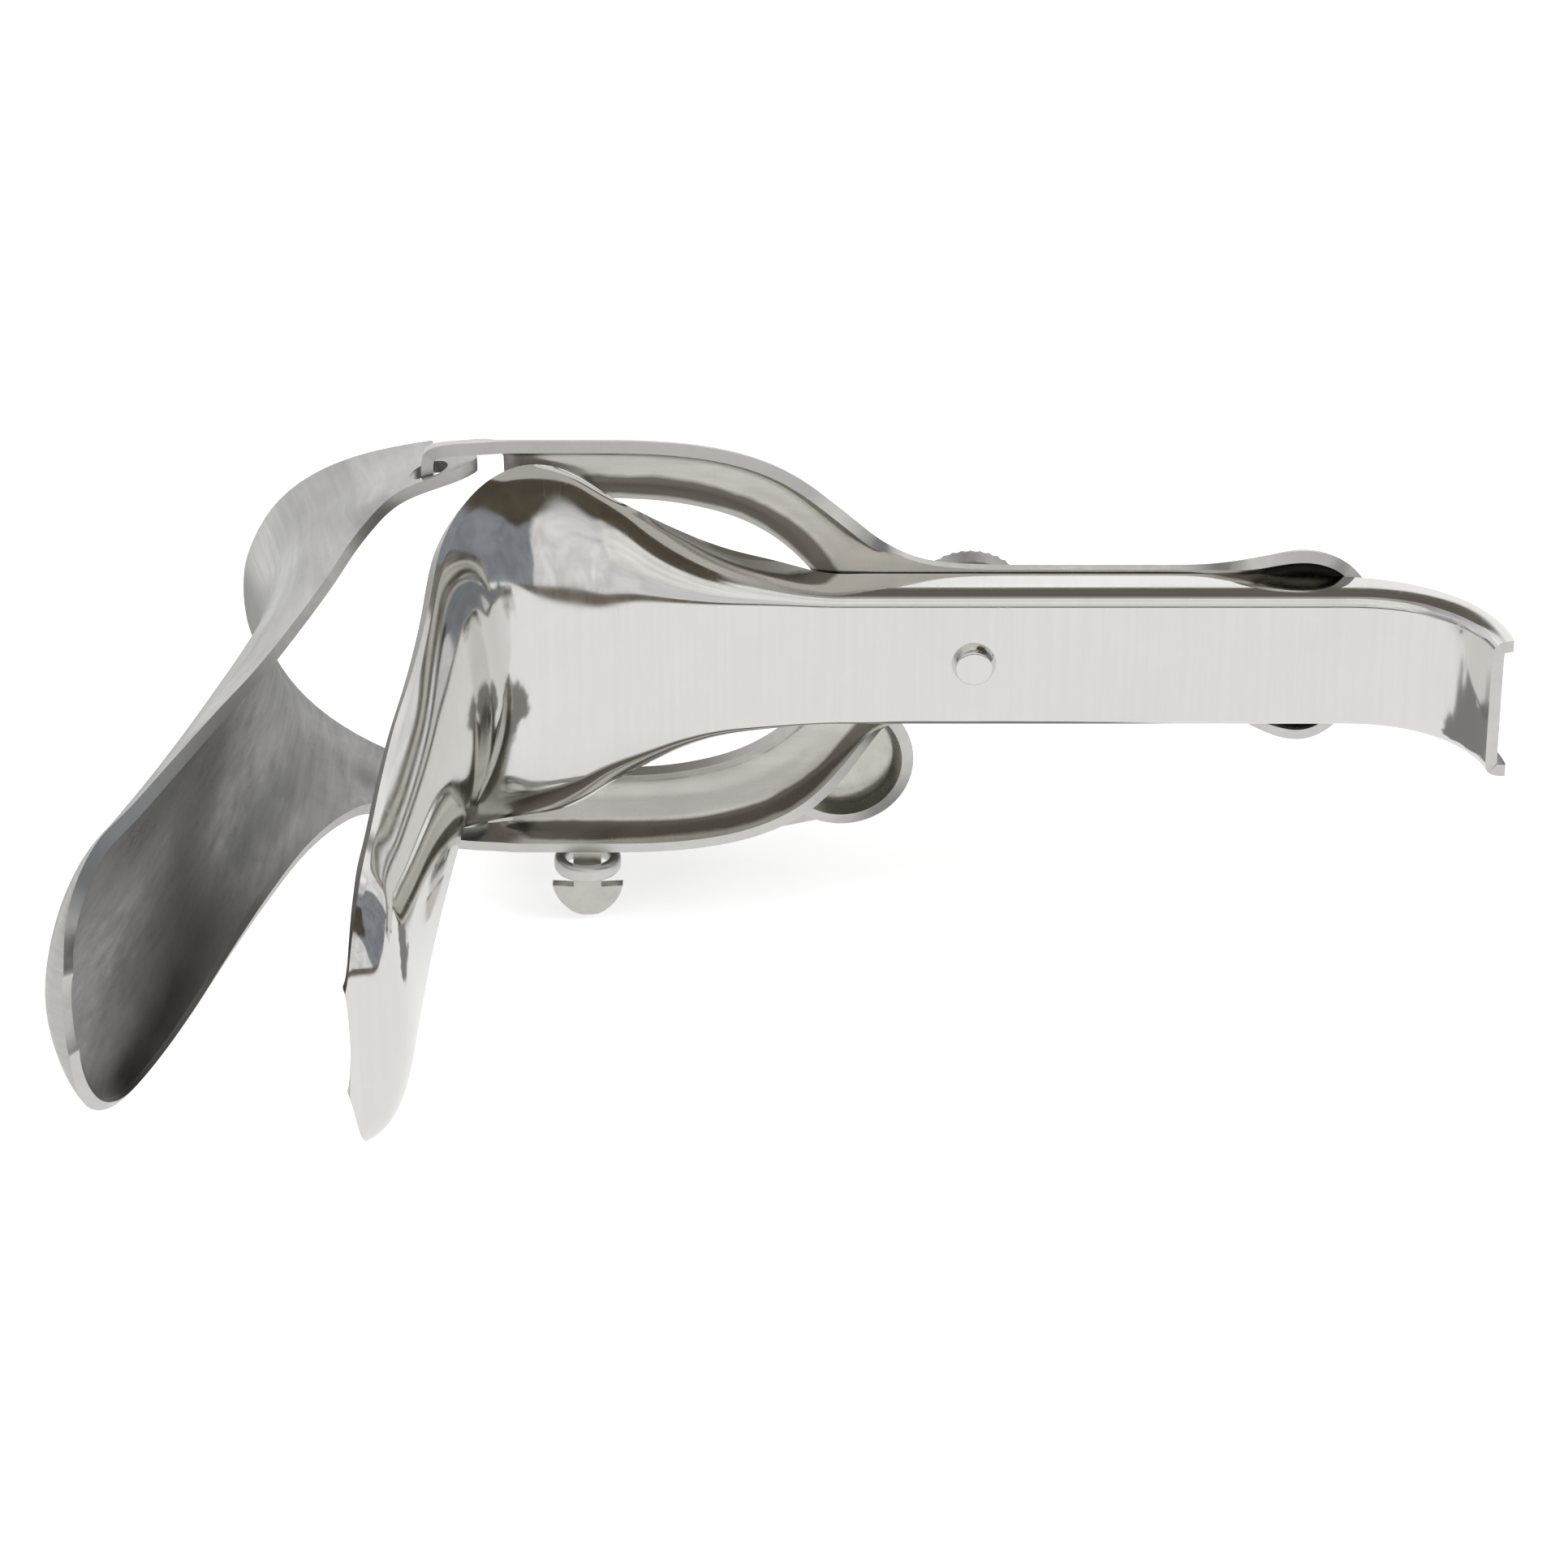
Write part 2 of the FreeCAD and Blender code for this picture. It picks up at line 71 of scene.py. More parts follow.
# Fixed blade and handle, from the hooked end to the blade's tip. Hook and bend rows start with their angle, handle
# and flare rows with x, blade and tip rows with y and x. The section follows as far as it varies there: rim half
# width, depth, knee half width, flat half width and crown. Hook and handle rows give its depth alone.
HANDLE_HALF = 9.1
HANDLE_DEPTH = 6.8
FOLD = 1.7
HOOK_CENTRE = (47.0, -15.0)
HOOK_RADIUS = 15.0
HOOK_ROWS = ((82, 2.7), (73, 2.9), (65, 3.2), (45, 4.0), (25, 4.8), (8, 5.5))
HANDLE_ROWS = ((47, 5.8), (42, 6.3), (37, 6.7), (31, 6.8), (24, 6.8), (14, 6.8), (4, 6.8), (-6, 6.8), (-14, 6.8),
               (-18, 6.8))
FLARE_ROWS = ((-24.4, 10.9, 9.6, 7.6, 0.05), (-30.5, 12.5, 10.6, 7.6, 0.1), (-36.0, 14.8, 12.0, 7.4, 0.2),
              (-41.0, 17.4, 13.6, 7.2, 0.3))
BEND_CENTRE = (-45.5, -14.0)
BEND_RADIUS = 14.0
BEND_ROWS = ((0, 20.0, 7.2, 15.0), (11, 23.0, 7.7, 16.6), (22, 24.2, 8.6, 17.6), (33, 23.7, 8.6, 17.8),
             (44, 22.8, 7.9, 17.4), (66, 20.2, 6.4, 16.2), (86, 18.4, 5.6, 15.0))
BLADE_ROWS = ((-22, -60.1, 16.9, 5.4), (-34, -60.9, 15.6, 5.5), (-47, -61.7, 14.7, 6.0), (-60, -62.4, 14.5, 5.9),
              (-72, -62.8, 14.9, 5.7), (-81, -63.0, 15.7, 5.6))
TIP_ROWS = ((-86.5, -63.2, 15.7, 5.5), (-90.6, -63.9, 14.2, 5.0), (-93.0, -65.0, 11.4, 4.3),
            (-94.1, -67.0, 8.4, 2.6), (-94.4, -69.7, 6.4, 0.3))
TIP_KNEE = 0.87
TIP_FLAT = 0.4

# Hinged blade about its hinge, with the blades closed. Each row is the place of the back (x, y), the direction into
# the trough and the whole section.
UPPER_ROWS = ((-30.6, 5.2, 0.993, 0.12, 25.2, 33.5, 20.3, 6.0, 0.8),
              (-26.6, -0.5, 0.999, 0.05, 25.0, 30.1, 18.6, 6.0, 0.8),
              (-23.2, -5.5, 1, 0, 22.6, 19.5, 16.2, 6.0, 0.8), (-20.8, -11.0, 1, 0, 19.2, 14.2, 15.2, 6.0, 0.8),
              (-18.6, -19.0, 1, 0, 16.9, 11.7, 14.2, 6.0, 0.9), (-16.6, -30.0, 1, 0, 15.5, 10.1, 13.4, 6.0, 0.9),
              (-14.6, -43.0, 1, 0, 15.3, 9.2, 13.2, 6.0, 0.9), (-12.2, -56.0, 1, 0, 15.9, 7.9, 13.6, 6.0, 0.8),
              (-9.9, -70.0, 1, 0, 16.6, 7.0, 14.2, 6.2, 0.8), (-8.2, -82.0, 1, 0, 16.8, 6.2, 14.2, 6.2, 0.7),
              (-7.2, -90.0, 1, 0, 16.5, 5.2, 13.6, 6.0, 0.6), (-6.2, -95.4, 1, 0, 14.0, 4.2, 11.2, 5.2, 0.5),
              (-5.2, -98.2, 1, 0, 10.4, 3.2, 8.2, 3.8, 0.4), (-3.6, -99.2, 1, 0, 7.0, 1.7, 5.4, 2.6, 0.2),
              (-2.3, -99.5, 1, 0, 5.0, 0.4, 4.0, 2.0, 0.02))
EAR_CENTRE = (-66.8, 5.6)
EAR_RADIUS = 6.0
EAR_HOLE = 2.35

# Sliding fork: pairs of points (x, z) on its outer edge and across from them on its throat or middle line
STRAP_FRONT = 7.1
ARM_FRONT = 3.7
ARM_DRAFT = 0.9
ARM_FOLD = 3.0
ARM_BOW = 0.7
LIP_HEIGHT = 4.9
LIP_START = -17.5
LIP_RUN = 7.0
ARM_ROWS = (((-57.7, 27.3), (-57.7, 18.7)), ((-55.4, 27.3), (-55.4, 18.7)), ((-52, 27.3), (-52, 18.7)),
            ((-47, 27.3), (-47.5, 18.7)), ((-40, 27.3), (-42.5, 18.6)), ((-33.4, 26.7), (-37.6, 18.3)),
            ((-27.3, 25.3), (-32.7, 17.3)), ((-22.5, 23.0), (-28.5, 15.9)), ((-18.9, 20.2), (-24.4, 13.4)),
            ((-14.9, 16.4), (-20.7, 10.0)), ((-12.2, 13.6), (-17.6, 6.0)), ((-10.2, 12.1), (-16.0, 2.6)),
            ((-8.4, 11.1), (-15.6, 0.0)))
# Strap: place and half width of its rim, place of its middle. Pad: place, half width, heights of middle and rim.
# Ears: place, outer face at the front and back, lowest and highest point
STRAP_ROWS = ((-6.0, 10.2, -11.0), (-2.5, 9.7, -6.0), (2.0, 9.5, 0.0))
PAD_ROWS = ((8.0, 9.5, 8.6, 8.6), (14.0, 9.5, 8.6, 8.6), (20.0, 9.5, 8.6, 8.6), (25.0, 9.5, 8.6, 8.6),
            (28.4, 9.6, 8.7, 8.45), (31.4, 10.2, 9.2, 7.8), (34.4, 11.3, 10.3, 6.6), (37.2, 12.4, 11.2, 5.6),
            (39.8, 13.0, 11.5, 5.1), (42.4, 12.9, 11.35, 5.1), (45.0, 11.8, 10.7, 5.8), (47.2, 9.8, 9.7, 7.0),
            (49.0, 7.3, 8.6, 7.1), (50.2, 4.4, 7.6, 7.1))
PAD_CUP_START = 31
PAD_CUP_RUN = 14
EAR_ROWS = ((-59.4, 28.0, 27.1, 3.7, 7.4), (-62.4, 27.9, 27.0, 3.7, 6.9), (-65.4, 27.6, 26.8, 3.7, 6.9),
            (-66.9, 27.0, 26.4, 3.7, 6.9), (-67.5, 26.0, 25.6, 3.7, 7.1), (-67.6, 24.4, 24.2, 3.7, 7.3),
            (-67.6, 22.0, 22.0, 3.7, 7.5))
# Where shade is painted on the fork's hollow side, from its outer edge to its throat, on the upper and lower arm
PAINTED_SHADE_ABOVE = ((0, 0), (0.6, 0), (0.7, 0.35), (0.8, 1), (0.9, 1), (0.96, 0.3), (1, 0))
PAINTED_SHADE_BELOW = ((0, 0), (0.04, 0), (0.12, 0.9), (0.3, 0.9), (0.38, 0.3), (0.46, 0), (0.84, 0), (0.92, 0.6), (1, 0))
SLOT_LENGTH = 14.0
SLOT_HALF = 2.5
HOOK_X = -48.3
HOOK_Z = -30.4
LUG_FRONT = 3.8

LEVER_FRONT = 10.3
LEVER_PLAN = ((-62.5, -21.0), (-62.5, -26.8), (-60.6, -28.6), (-56.5, -28.8), (-54.5, -31.2), (-38.5, -31.2),
              (-36.5, -28.8), (-24, -28.0), (-15, -26.0), (-15, -12), (-21, -14.5), (-27, -20.4), (-33, -21.0))
LEVER_ROOT = ((-73.0, 9.0), (-61.4, 16.4))
LEVER_SHEET = 1.8
PAD_CENTRE = (-16.2, -18.3)
PAD_RISE = 4.6
PAD_SHEET = 0.7
PAD_PROFILE = ((0, 4.6), (2.2, 4.58), (4.4, 4.5), (5.9, 4.34), (7.0, 3.95), (7.9, 3.3), (8.45, 2.4), (8.85, 1.3),
               (9.1, 0.4), (9.2, 0))
RIVETS = ((-66.3, 11.4), (-71.0, 12.4))


# Turns a body made about the Y axis to stand along Z
UPRIGHT = Matrix.Rotation(math.pi / 2, 4, "X")


def at(x, y, z):
    """A point of the drawing in the row frame, in metres."""
    return Vector(((x - FACE_X) * MM, y * MM, z * MM))


def settings():
    return bpy.context.scene.speculum


# Points and rows


def spaced(lengths, count):
    """That many evenly spaced lengths along a line, each with the index of the stretch it falls in."""
    i = 0
    for k in range(count):
        want = lengths[-1] * k / (count - 1)
        while i < len(lengths) - 2 and lengths[i + 1] < want:
            i += 1
        yield i, want


def evenly(points, count):
    """That many points, evenly spaced along a line through points."""
    lengths = [0.0]
    for a, b in zip(points, points[1:]):
        lengths.append(lengths[-1] + (b - a).length)
    found = []
    for i, want in spaced(lengths, count):
        share = (want - lengths[i]) / max(lengths[i + 1] - lengths[i], 1e-9)
        found.append(points[i].lerp(points[i + 1], min(max(share, 0.0), 1.0)))
    return found


def smooth_rows(rows, spacing):
    """Rows about spacing apart on a smooth curve through rows, whose numbers all blend alike."""
    lengths = [0.0]
    for a, b in zip(rows, rows[1:]):
        lengths.append(lengths[-1] + math.hypot(*(b[k] - a[k] for k in (0, 1, 4, 5))))

    def slope(i, column):
        a = max(i - 1, 0)
        b = min(i + 1, len(rows) - 1)
        return (rows[b][column] - rows[a][column]) / (lengths[b] - lengths[a])

    steps = max(round(lengths[-1] / spacing), 2)
    found = []
    for i, want in spaced(lengths, steps + 1):
        span = lengths[i + 1] - lengths[i]
        t = (want - lengths[i]) / span
        early, late = t * t * (2 * t - 3) + 1, t * t * (3 - 2 * t)
        leave, arrive = t * (1 - t) ** 2 * span, t * t * (t - 1) * span
        row = []
        for column in range(len(rows[i])):
            value = early * rows[i][column] + late * rows[i + 1][column]
            row.append(value + leave * slope(i, column) + arrive * slope(i + 1, column))
        found.append(tuple(row))
    return found


def half_section(rim, depth, knee, flat, crown):
    """Half of a trough's section as (side, height) points, from its middle to its rim."""
    tilt = 2 * math.atan2(crown, flat)
    start = Vector((flat, crown))
    turn = Vector((knee, crown + (knee - flat) * math.tan(tilt)))
    wall = Vector((rim, depth)) - turn
    end = turn + wall.normalized() * min(1.8 * (turn - start).length, 0.8 * wall.length)
    points = [Vector((0, 0)), Vector((flat * 0.5, crown * 0.25)), start]
    for t in (0.25, 0.5, 0.75):
        points.append(start * (1 - t) ** 2 + turn * 2 * t * (1 - t) + end * t * t)
    points.append(end)
    top = Vector((rim, depth))
    points += [end.lerp(top, 1 / 3), end.lerp(top, 2 / 3), top]
    return points


def section_row(station, place):
    """One row of points across a trough, from rim to rim."""
    x, y, nx, ny = station[:4]
    half = half_section(*station[4:])
    size = math.hypot(nx, ny)
    row = []
    for side, points in ((-1, reversed(half)), (1, half[1:])):
        row += [place(x + nx / size * p.y, y + ny / size * p.y, side * p.x) for p in points]
    return row


# Meshes


def loft(rows, marks=None):
    """A sheet of quads bridged through rows of points, each with its mark in the layer hollow."""
    bm = bmesh.new()
    layer = bm.verts.layers.float.new("hollow")
    loops = []
    for i, row in enumerate(rows):
        verts = [bm.verts.new(point) for point in row]
        if marks:
            for vert, mark in zip(verts, marks[i]):
                vert[layer] = mark
        loops.append([bm.edges.new(pair) for pair in zip(verts, verts[1:])])
    for before, after in zip(loops, loops[1:]):
        bmesh.ops.bridge_loops(bm, edges=before + after)
    return bm


def face_away(bm, near, direction):
    """Turns all faces one way, so that the face nearest a point looks along direction."""
    bmesh.ops.recalc_face_normals(bm, faces=bm.faces)
    face = min(bm.faces, key=lambda f: (f.calc_center_median() - near).length)
    if face.normal.dot(Vector(direction)) < 0:
        bmesh.ops.reverse_faces(bm, faces=bm.faces)


def turned(profile, steps=64):
    """A body turned about the Y axis from (radius, y) points, closed at both ends if they lie on the axis."""
    bm = bmesh.new()
    verts = [bm.verts.new((r * MM, y * MM, 0)) for r, y in profile]
    edges = [bm.edges.new(pair) for pair in zip(verts, verts[1:])]
    bmesh.ops.spin(bm, geom=verts + edges, axis=(0, 1, 0), cent=(0, 0, 0), angle=math.tau, steps=steps,
                   use_merge=True)
    bmesh.ops.remove_doubles(bm, verts=bm.verts, dist=1e-7)
    bmesh.ops.recalc_face_normals(bm, faces=bm.faces)
    return bm


def knurl(bm, radius, low, high, rings, teeth, depth):
    """Presses a diamond pattern into the turned band between two heights."""
    step = (high - low) / (rings - 1)
    for vert in bm.verts:
        r = math.hypot(vert.co.x, vert.co.z)
        y = vert.co.y / MM
        if r < (radius - 0.01) * MM or not low - 0.01 <= y <= high + 0.01:
            continue
        place = round(math.atan2(vert.co.z, vert.co.x) / math.tau * teeth) + round((y - low) / step)
        if place % 2:
            vert.co.x *= 1 - depth * MM / r
            vert.co.z *= 1 - depth * MM / r


def thread(radius, depth, pitch, start, end, steps=20):
    """A screw thread about the Y axis."""
    bm = bmesh.new()
    inner = radius - depth
    profile = ((inner, 0.0), (radius, 0.42 * pitch), (radius, 0.58 * pitch), (inner, pitch))
    verts = [bm.verts.new((r * MM, (start + y) * MM, 0)) for r, y in profile]
    edges = [bm.edges.new(pair) for pair in zip(verts, verts[1:])]
    turns = max(round((end - start) / pitch) - 1, 1)
    rise = Vector((0, (end - start - pitch) / turns / steps * MM, 0))
    bmesh.ops.spin(bm, geom=verts + edges, axis=(0, 1, 0), cent=(0, 0, 0), dvec=rise, angle=-math.tau * turns,
                   steps=turns * steps)
    bmesh.ops.remove_doubles(bm, verts=bm.verts, dist=2e-6)
    return bm


def outline(points, rounding, segments=4):
    """A flat face in the XZ plane with rounded corners. Points are (x, z) and y comes after."""
    bm = bmesh.new()
    verts = [bm.verts.new((x * MM, 0, z * MM)) for x, z in points]
    bm.faces.new(verts)
    if rounding:
        bmesh.ops.bevel(bm, geom=bm.verts, offset=rounding * MM, affect="VERTICES", segments=segments, profile=0.5,
                        material=-1, clamp_overlap=True)
    return bm


def thicken(bm, depth, along=(0, 1, 0)):
    """Extrudes a flat face into a plate."""
    made = bmesh.ops.extrude_face_region(bm, geom=bm.faces[:])
    verts = [g for g in made["geom"] if isinstance(g, bmesh.types.BMVert)]
    bmesh.ops.translate(bm, vec=[a * depth * MM for a in along], verts=verts)
    bmesh.ops.recalc_face_normals(bm, faces=bm.faces)


def move(bm, place):
    bmesh.ops.transform(bm, matrix=place, verts=bm.verts)


def pour(part, whole):
    """Moves everything in one mesh over to another."""
    mesh = bpy.data.meshes.new("part")
    part.to_mesh(mesh)
    part.free()
    whole.from_mesh(mesh)
    bpy.data.meshes.remove(mesh)


def joined(parts):
    """One mesh from several, each moved by its own matrix."""
    whole = bmesh.new()
    for part, place in parts:
        move(part, place)
        pour(part, whole)
    return whole


def shift(x, y, z):
    return Matrix.Translation(at(x, y, z))


# Pieces


def add_piece(name, bm, materials, smooth=True):
    mesh = bpy.data.meshes.new(name)
    bm.to_mesh(mesh)
    bm.free()
    for polygon in mesh.polygons:
        polygon.use_smooth = smooth
    for material in materials:
        mesh.materials.append(material)
    piece = bpy.data.objects.new(name, mesh)
    bpy.context.scene.collection.objects.link(piece)
    return piece


def settle(piece):
    """Makes the piece's modifiers part of its mesh."""
    bpy.context.view_layer.update()
    graph = bpy.context.evaluated_depsgraph_get()
    mesh = bpy.data.meshes.new_from_object(piece.evaluated_get(graph))
    old = piece.data
    piece.modifiers.clear()
    piece.data = mesh
    mesh.name = piece.name
    bpy.data.meshes.remove(old)


def as_sheet(piece, levels=None):
    """Smooths a lofted surface and gives it the sheet's thickness on its hollow side."""
    smooth = piece.modifiers.new("Smooth", "SUBSURF")
    smooth.levels = smooth.render_levels = settings().sheet.smoothing if levels is None else levels
    solid = piece.modifiers.new("Sheet", "SOLIDIFY")
    solid.thickness = settings().sheet.thickness
    solid.offset = -1
    solid.use_even_offset = True
    solid.thickness_clamp = 0
    solid.material_offset = 2
    solid.material_offset_rim = 1
    settle(piece)


def combine(piece, bm, operation, smooth):
    """Cuts a body out of a piece, or joins it on."""
    tool = add_piece("tool", bm, piece.data.materials[:], smooth)
    boolean = piece.modifiers.new("Combine", "BOOLEAN")
    boolean.object = tool
    boolean.operation = operation
    boolean.solver = "EXACT"
    boolean.use_self = operation == "UNION"
    settle(piece)
    bpy.data.meshes.remove(tool.data)


def cut(piece, cutters):
    """Takes the cutters out of a piece. The cut faces get the piece's second material."""
    for bm in cutters:
        for face in bm.faces:
            face.material_index = 1
        combine(piece, bm, "DIFFERENCE", False)


def ease_edges(piece, width=None, segments=2, angle=50):
    bevel = piece.modifiers.new("Eased edges", "BEVEL")
    bevel.limit_method = "ANGLE"
    bevel.angle_limit = math.radians(angle)
    bevel.width = settings().sheet.edge if width is None else width
    bevel.segments = segments
    bevel.use_clamp_overlap = True
    bevel.harden_normals = True


def seat(piece, body, node):
    """Puts a finished piece on its CAD body in place of its CAD node."""
    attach(piece, body)
    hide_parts(node)


def rod_cutter(radius, start, end, steps=48):
    """A plain cylinder between two points."""
    axis = end - start
    bm = bmesh.new()
    turn = axis.to_track_quat("Z", "Y").to_matrix().to_4x4()
    place = Matrix.Translation((start + end) / 2) @ turn
    bmesh.ops.create_cone(bm, cap_ends=True, segments=steps, radius1=radius * MM, radius2=radius * MM,
                          depth=axis.length, matrix=place)
    return bm


# Finishes


def node_group(name, inputs, outputs):
    tree = bpy.data.node_groups.new(name, "ShaderNodeTree")
    for label, kind, value in inputs:
        socket = tree.interface.new_socket(label, in_out="INPUT", socket_type=kind)
        socket.default_value = value
    for label, kind in outputs:
        tree.interface.new_socket(label, in_out="OUTPUT", socket_type=kind)
    return tree, tree.nodes.new("NodeGroupInput"), tree.nodes.new("NodeGroupOutput")


def add_node(tree, kind, values=None, **options):
    """A shader node with its options set and its inputs' values given by name or number."""
    node = tree.nodes.new("ShaderNode" + kind)
    for name, value in options.items():
        setattr(node, name, value)
    for name, value in (values or {}).items():
        node.inputs[name].default_value = value
    return node


def connect(tree, *links):
    """Makes links, each from a socket, or a node and its output's name, to a node and its input's name."""
    for *start, node, name in links:
        output = start[0] if len(start) == 1 else start[0].outputs[start[1]]
        tree.links.new(output, node.inputs[name])


def grain_group():
    """Fine lines left by brushing, drawn out along one direction, and the patchiness of the belt."""
    made = bpy.data.node_groups.get("Brushed grain")
    if made:
        return made
    inputs = (("Stretch", "NodeSocketVector", (30.0, 2500.0, 2500.0)), ("Patches", "NodeSocketFloat", 90.0))
    outputs = (("Lines", "NodeSocketFloat"), ("Patchiness", "NodeSocketFloat"))
    tree, given, result = node_group("Brushed grain", inputs, outputs)
    place = add_node(tree, "TexCoord")
    mapping = add_node(tree, "Mapping")
    lines = add_node(tree, "TexNoise", {"Scale": 1.0, "Detail": 3.0, "Roughness": 0.65})
    patches = add_node(tree, "TexNoise", {"Detail": 4.0, "Roughness": 0.6})
    connect(tree, (place, "Object", mapping, "Vector"), (given, "Stretch", mapping, "Scale"),
            (mapping, "Vector", lines, "Vector"), (place, "Object", patches, "Vector"),
            (given, "Patches", patches, "Scale"), (lines, "Fac", result, "Lines"),
            (patches, "Fac", result, "Patchiness"))
    return tree


def handling_group():
    """Hairline scratches and wiped smudges from use and cleaning, and the slow waves of a hand-polished sheet."""
    made = bpy.data.node_groups.get("Handling marks")
    if made:
        return made
    inputs = (("Scratches", "NodeSocketFloat", 420.0), ("Waves", "NodeSocketFloat", 55.0))
    outputs = (("Hairlines", "NodeSocketFloat"), ("Smudges", "NodeSocketFloat"), ("Wave", "NodeSocketFloat"))
    tree, given, result = node_group("Handling marks", inputs, outputs)
    place = add_node(tree, "TexCoord")
    bend = add_node(tree, "TexNoise", {"Scale": 40.0})
    bent = add_node(tree, "VectorMath", {1: (0.02, 0.02, 0.02)}, operation="MULTIPLY_ADD")
    cracks = add_node(tree, "TexVoronoi", feature="DISTANCE_TO_EDGE")
    thin = add_node(tree, "MapRange", {"From Max": 0.03, "To Min": 1.0, "To Max": 0.0})
    few = add_node(tree, "TexNoise", {"Scale": 130.0})
    keep = add_node(tree, "MapRange", {"From Min": 0.52, "From Max": 0.62})
    hair = add_node(tree, "Math", operation="MULTIPLY")
    smudge = add_node(tree, "TexNoise", {"Scale": 75.0, "Detail": 5.0, "Distortion": 0.6})
    wave = add_node(tree, "TexNoise", {"Detail": 1.0})
    connect(tree, (place, "Object", bend, "Vector"), (bend, "Color", bent, 0), (place, "Object", bent, 2),
            (bent, "Vector", cracks, "Vector"), (given, "Scratches", cracks, "Scale"),
            (cracks, "Distance", thin, "Value"), (place, "Object", few, "Vector"), (few, "Fac", keep, "Value"),
            (thin, "Result", hair, 0), (keep, "Result", hair, 1), (place, "Object", smudge, "Vector"),
            (place, "Object", wave, "Vector"), (given, "Waves", wave, "Scale"),
            (hair, "Value", result, "Hairlines"), (smudge, "Fac", result, "Smudges"), (wave, "Fac", result, "Wave"))
    return tree


# The colour's setting, smoothest and dullest roughness, stretch of the grain, heights of the grain's lines and of the
# waves in metres, tint, and the setting of the painted shade's colour where the layer hollow marks the steel
STEELS = {
    "mirror_steel": ("bright", (0.04, 0.13), (900.0, 300.0, 30.0), 1.1e-7, 6e-6, 0.03, None),
    "brushed_steel": ("inside", (0.24, 0.42), (900.0, 25.0, 900.0), 6e-7, 4e-6, 0.16, None),
    "satin_steel": ("warm", (0.2, 0.36), (500.0, 500.0, 500.0), 5e-7, 1e-5, 0.1, None),
    # The gutter finish carries painted shade in the fork's hollows and its pad's cup
    "gutter_steel_painted_shade": ("warm", (0.2, 0.36), (60.0, 500.0, 500.0), 5e-7, 1e-5, 0.1, "painted_shade"),
    "ground_steel": ("ground", (0.22, 0.4), (60.0, 60.0, 1400.0), 1.2e-6, 6e-6, 0.12, None),
    "edge_steel": ("edge", (0.28, 0.42), (700.0, 700.0, 700.0), 4e-7, 4e-6, 0.05, None),
    "turned_steel": ("grey", (0.26, 0.42), (400.0, 2600.0, 400.0), 5e-7, 2e-6, 0.06, None),
}


def steels(*names):
    return [steel(name) for name in names]


def steel(name):
    """Stainless steel with one of the finishes in STEELS."""
    made = bpy.data.materials.get(name)
    if made:
        return made
    key, rough, stretch, line_height, wave_height, tint, painted_shade = STEELS[name]
    colour = getattr(settings().steel, key)
    material = bpy.data.materials.new(name)
    material.use_nodes = True
    tree = material.node_tree
    shader = tree.nodes["Principled BSDF"]
    shader.inputs["Metallic"].default_value = 1.0
    grain = add_node(tree, "Group", {"Stretch": stretch}, node_tree=grain_group())
    marks = add_node(tree, "Group", node_tree=handling_group())

    def blend(a, b, share):
        mix = add_node(tree, "Mix", {"Factor": share})
        connect(tree, (a, mix, "A"), (b, mix, "B"))
        return mix.outputs["Result"]

    def ranged(value, low, high, from_low=0.3, from_high=0.7):
        change = add_node(tree, "MapRange", {"From Min": from_low, "From Max": from_high, "To Min": low,
                          "To Max": high})
        connect(tree, (value, change, "Value"))
        return change.outputs["Result"]

    haze = blend(grain.outputs["Lines"], marks.outputs["Smudges"], 0.45)
    duller = add_node(tree, "Math", {1: 0.08}, operation="MULTIPLY_ADD")
    connect(tree, (marks, "Hairlines", duller, 0), (ranged(haze, rough[0], rough[1]), duller, 2))
    connect(tree, (duller, "Value", shader, "Roughness"))
    paint = add_node(tree, "Mix", {"A": (*colour, 1.0), "B": (*(c * (1 - 2 * tint) for c in colour), 1.0)},
                     data_type="RGBA")
    shade = blend(grain.outputs["Patchiness"], grain.outputs["Lines"], 0.4)
    connect(tree, (ranged(shade, 0.0, 1.0), paint, "Factor"))
    painted = paint.outputs["Result"]
    # Painted shade: darkens the colour where the layer hollow marks the fork's hollows and its pad's cup
    if painted_shade:
        dark = getattr(settings().steel, painted_shade)
        mark = add_node(tree, "Attribute", attribute_name="hollow")
        ragged = add_node(tree, "Math", operation="ADD")
        painted_shade_mix = add_node(tree, "Mix", {"B": (*dark, 1.0)}, data_type="RGBA")
        connect(tree, (mark, "Fac", ragged, 0), (marks, "Smudges", ragged, 1),
                (ranged(ragged.outputs["Value"], 0.0, 1.0, 0.85, 1.15), painted_shade_mix, "Factor"), (painted, painted_shade_mix, "A"))
        painted = painted_shade_mix.outputs["Result"]
    connect(tree, (painted, shader, "Base Color"))
    waves = add_node(tree, "Bump", {"Distance": wave_height})
    lines = add_node(tree, "Bump", {"Distance": line_height})
    connect(tree, (marks, "Wave", waves, "Height"), (waves, "Normal", lines, "Normal"),
            (grain, "Lines", lines, "Height"), (lines, "Normal", shader, "Normal"))
    return material


# Operators


class SpeculumOperator:
    """What every piece's operator shares."""

    bl_options = {"REGISTER", "UNDO"}


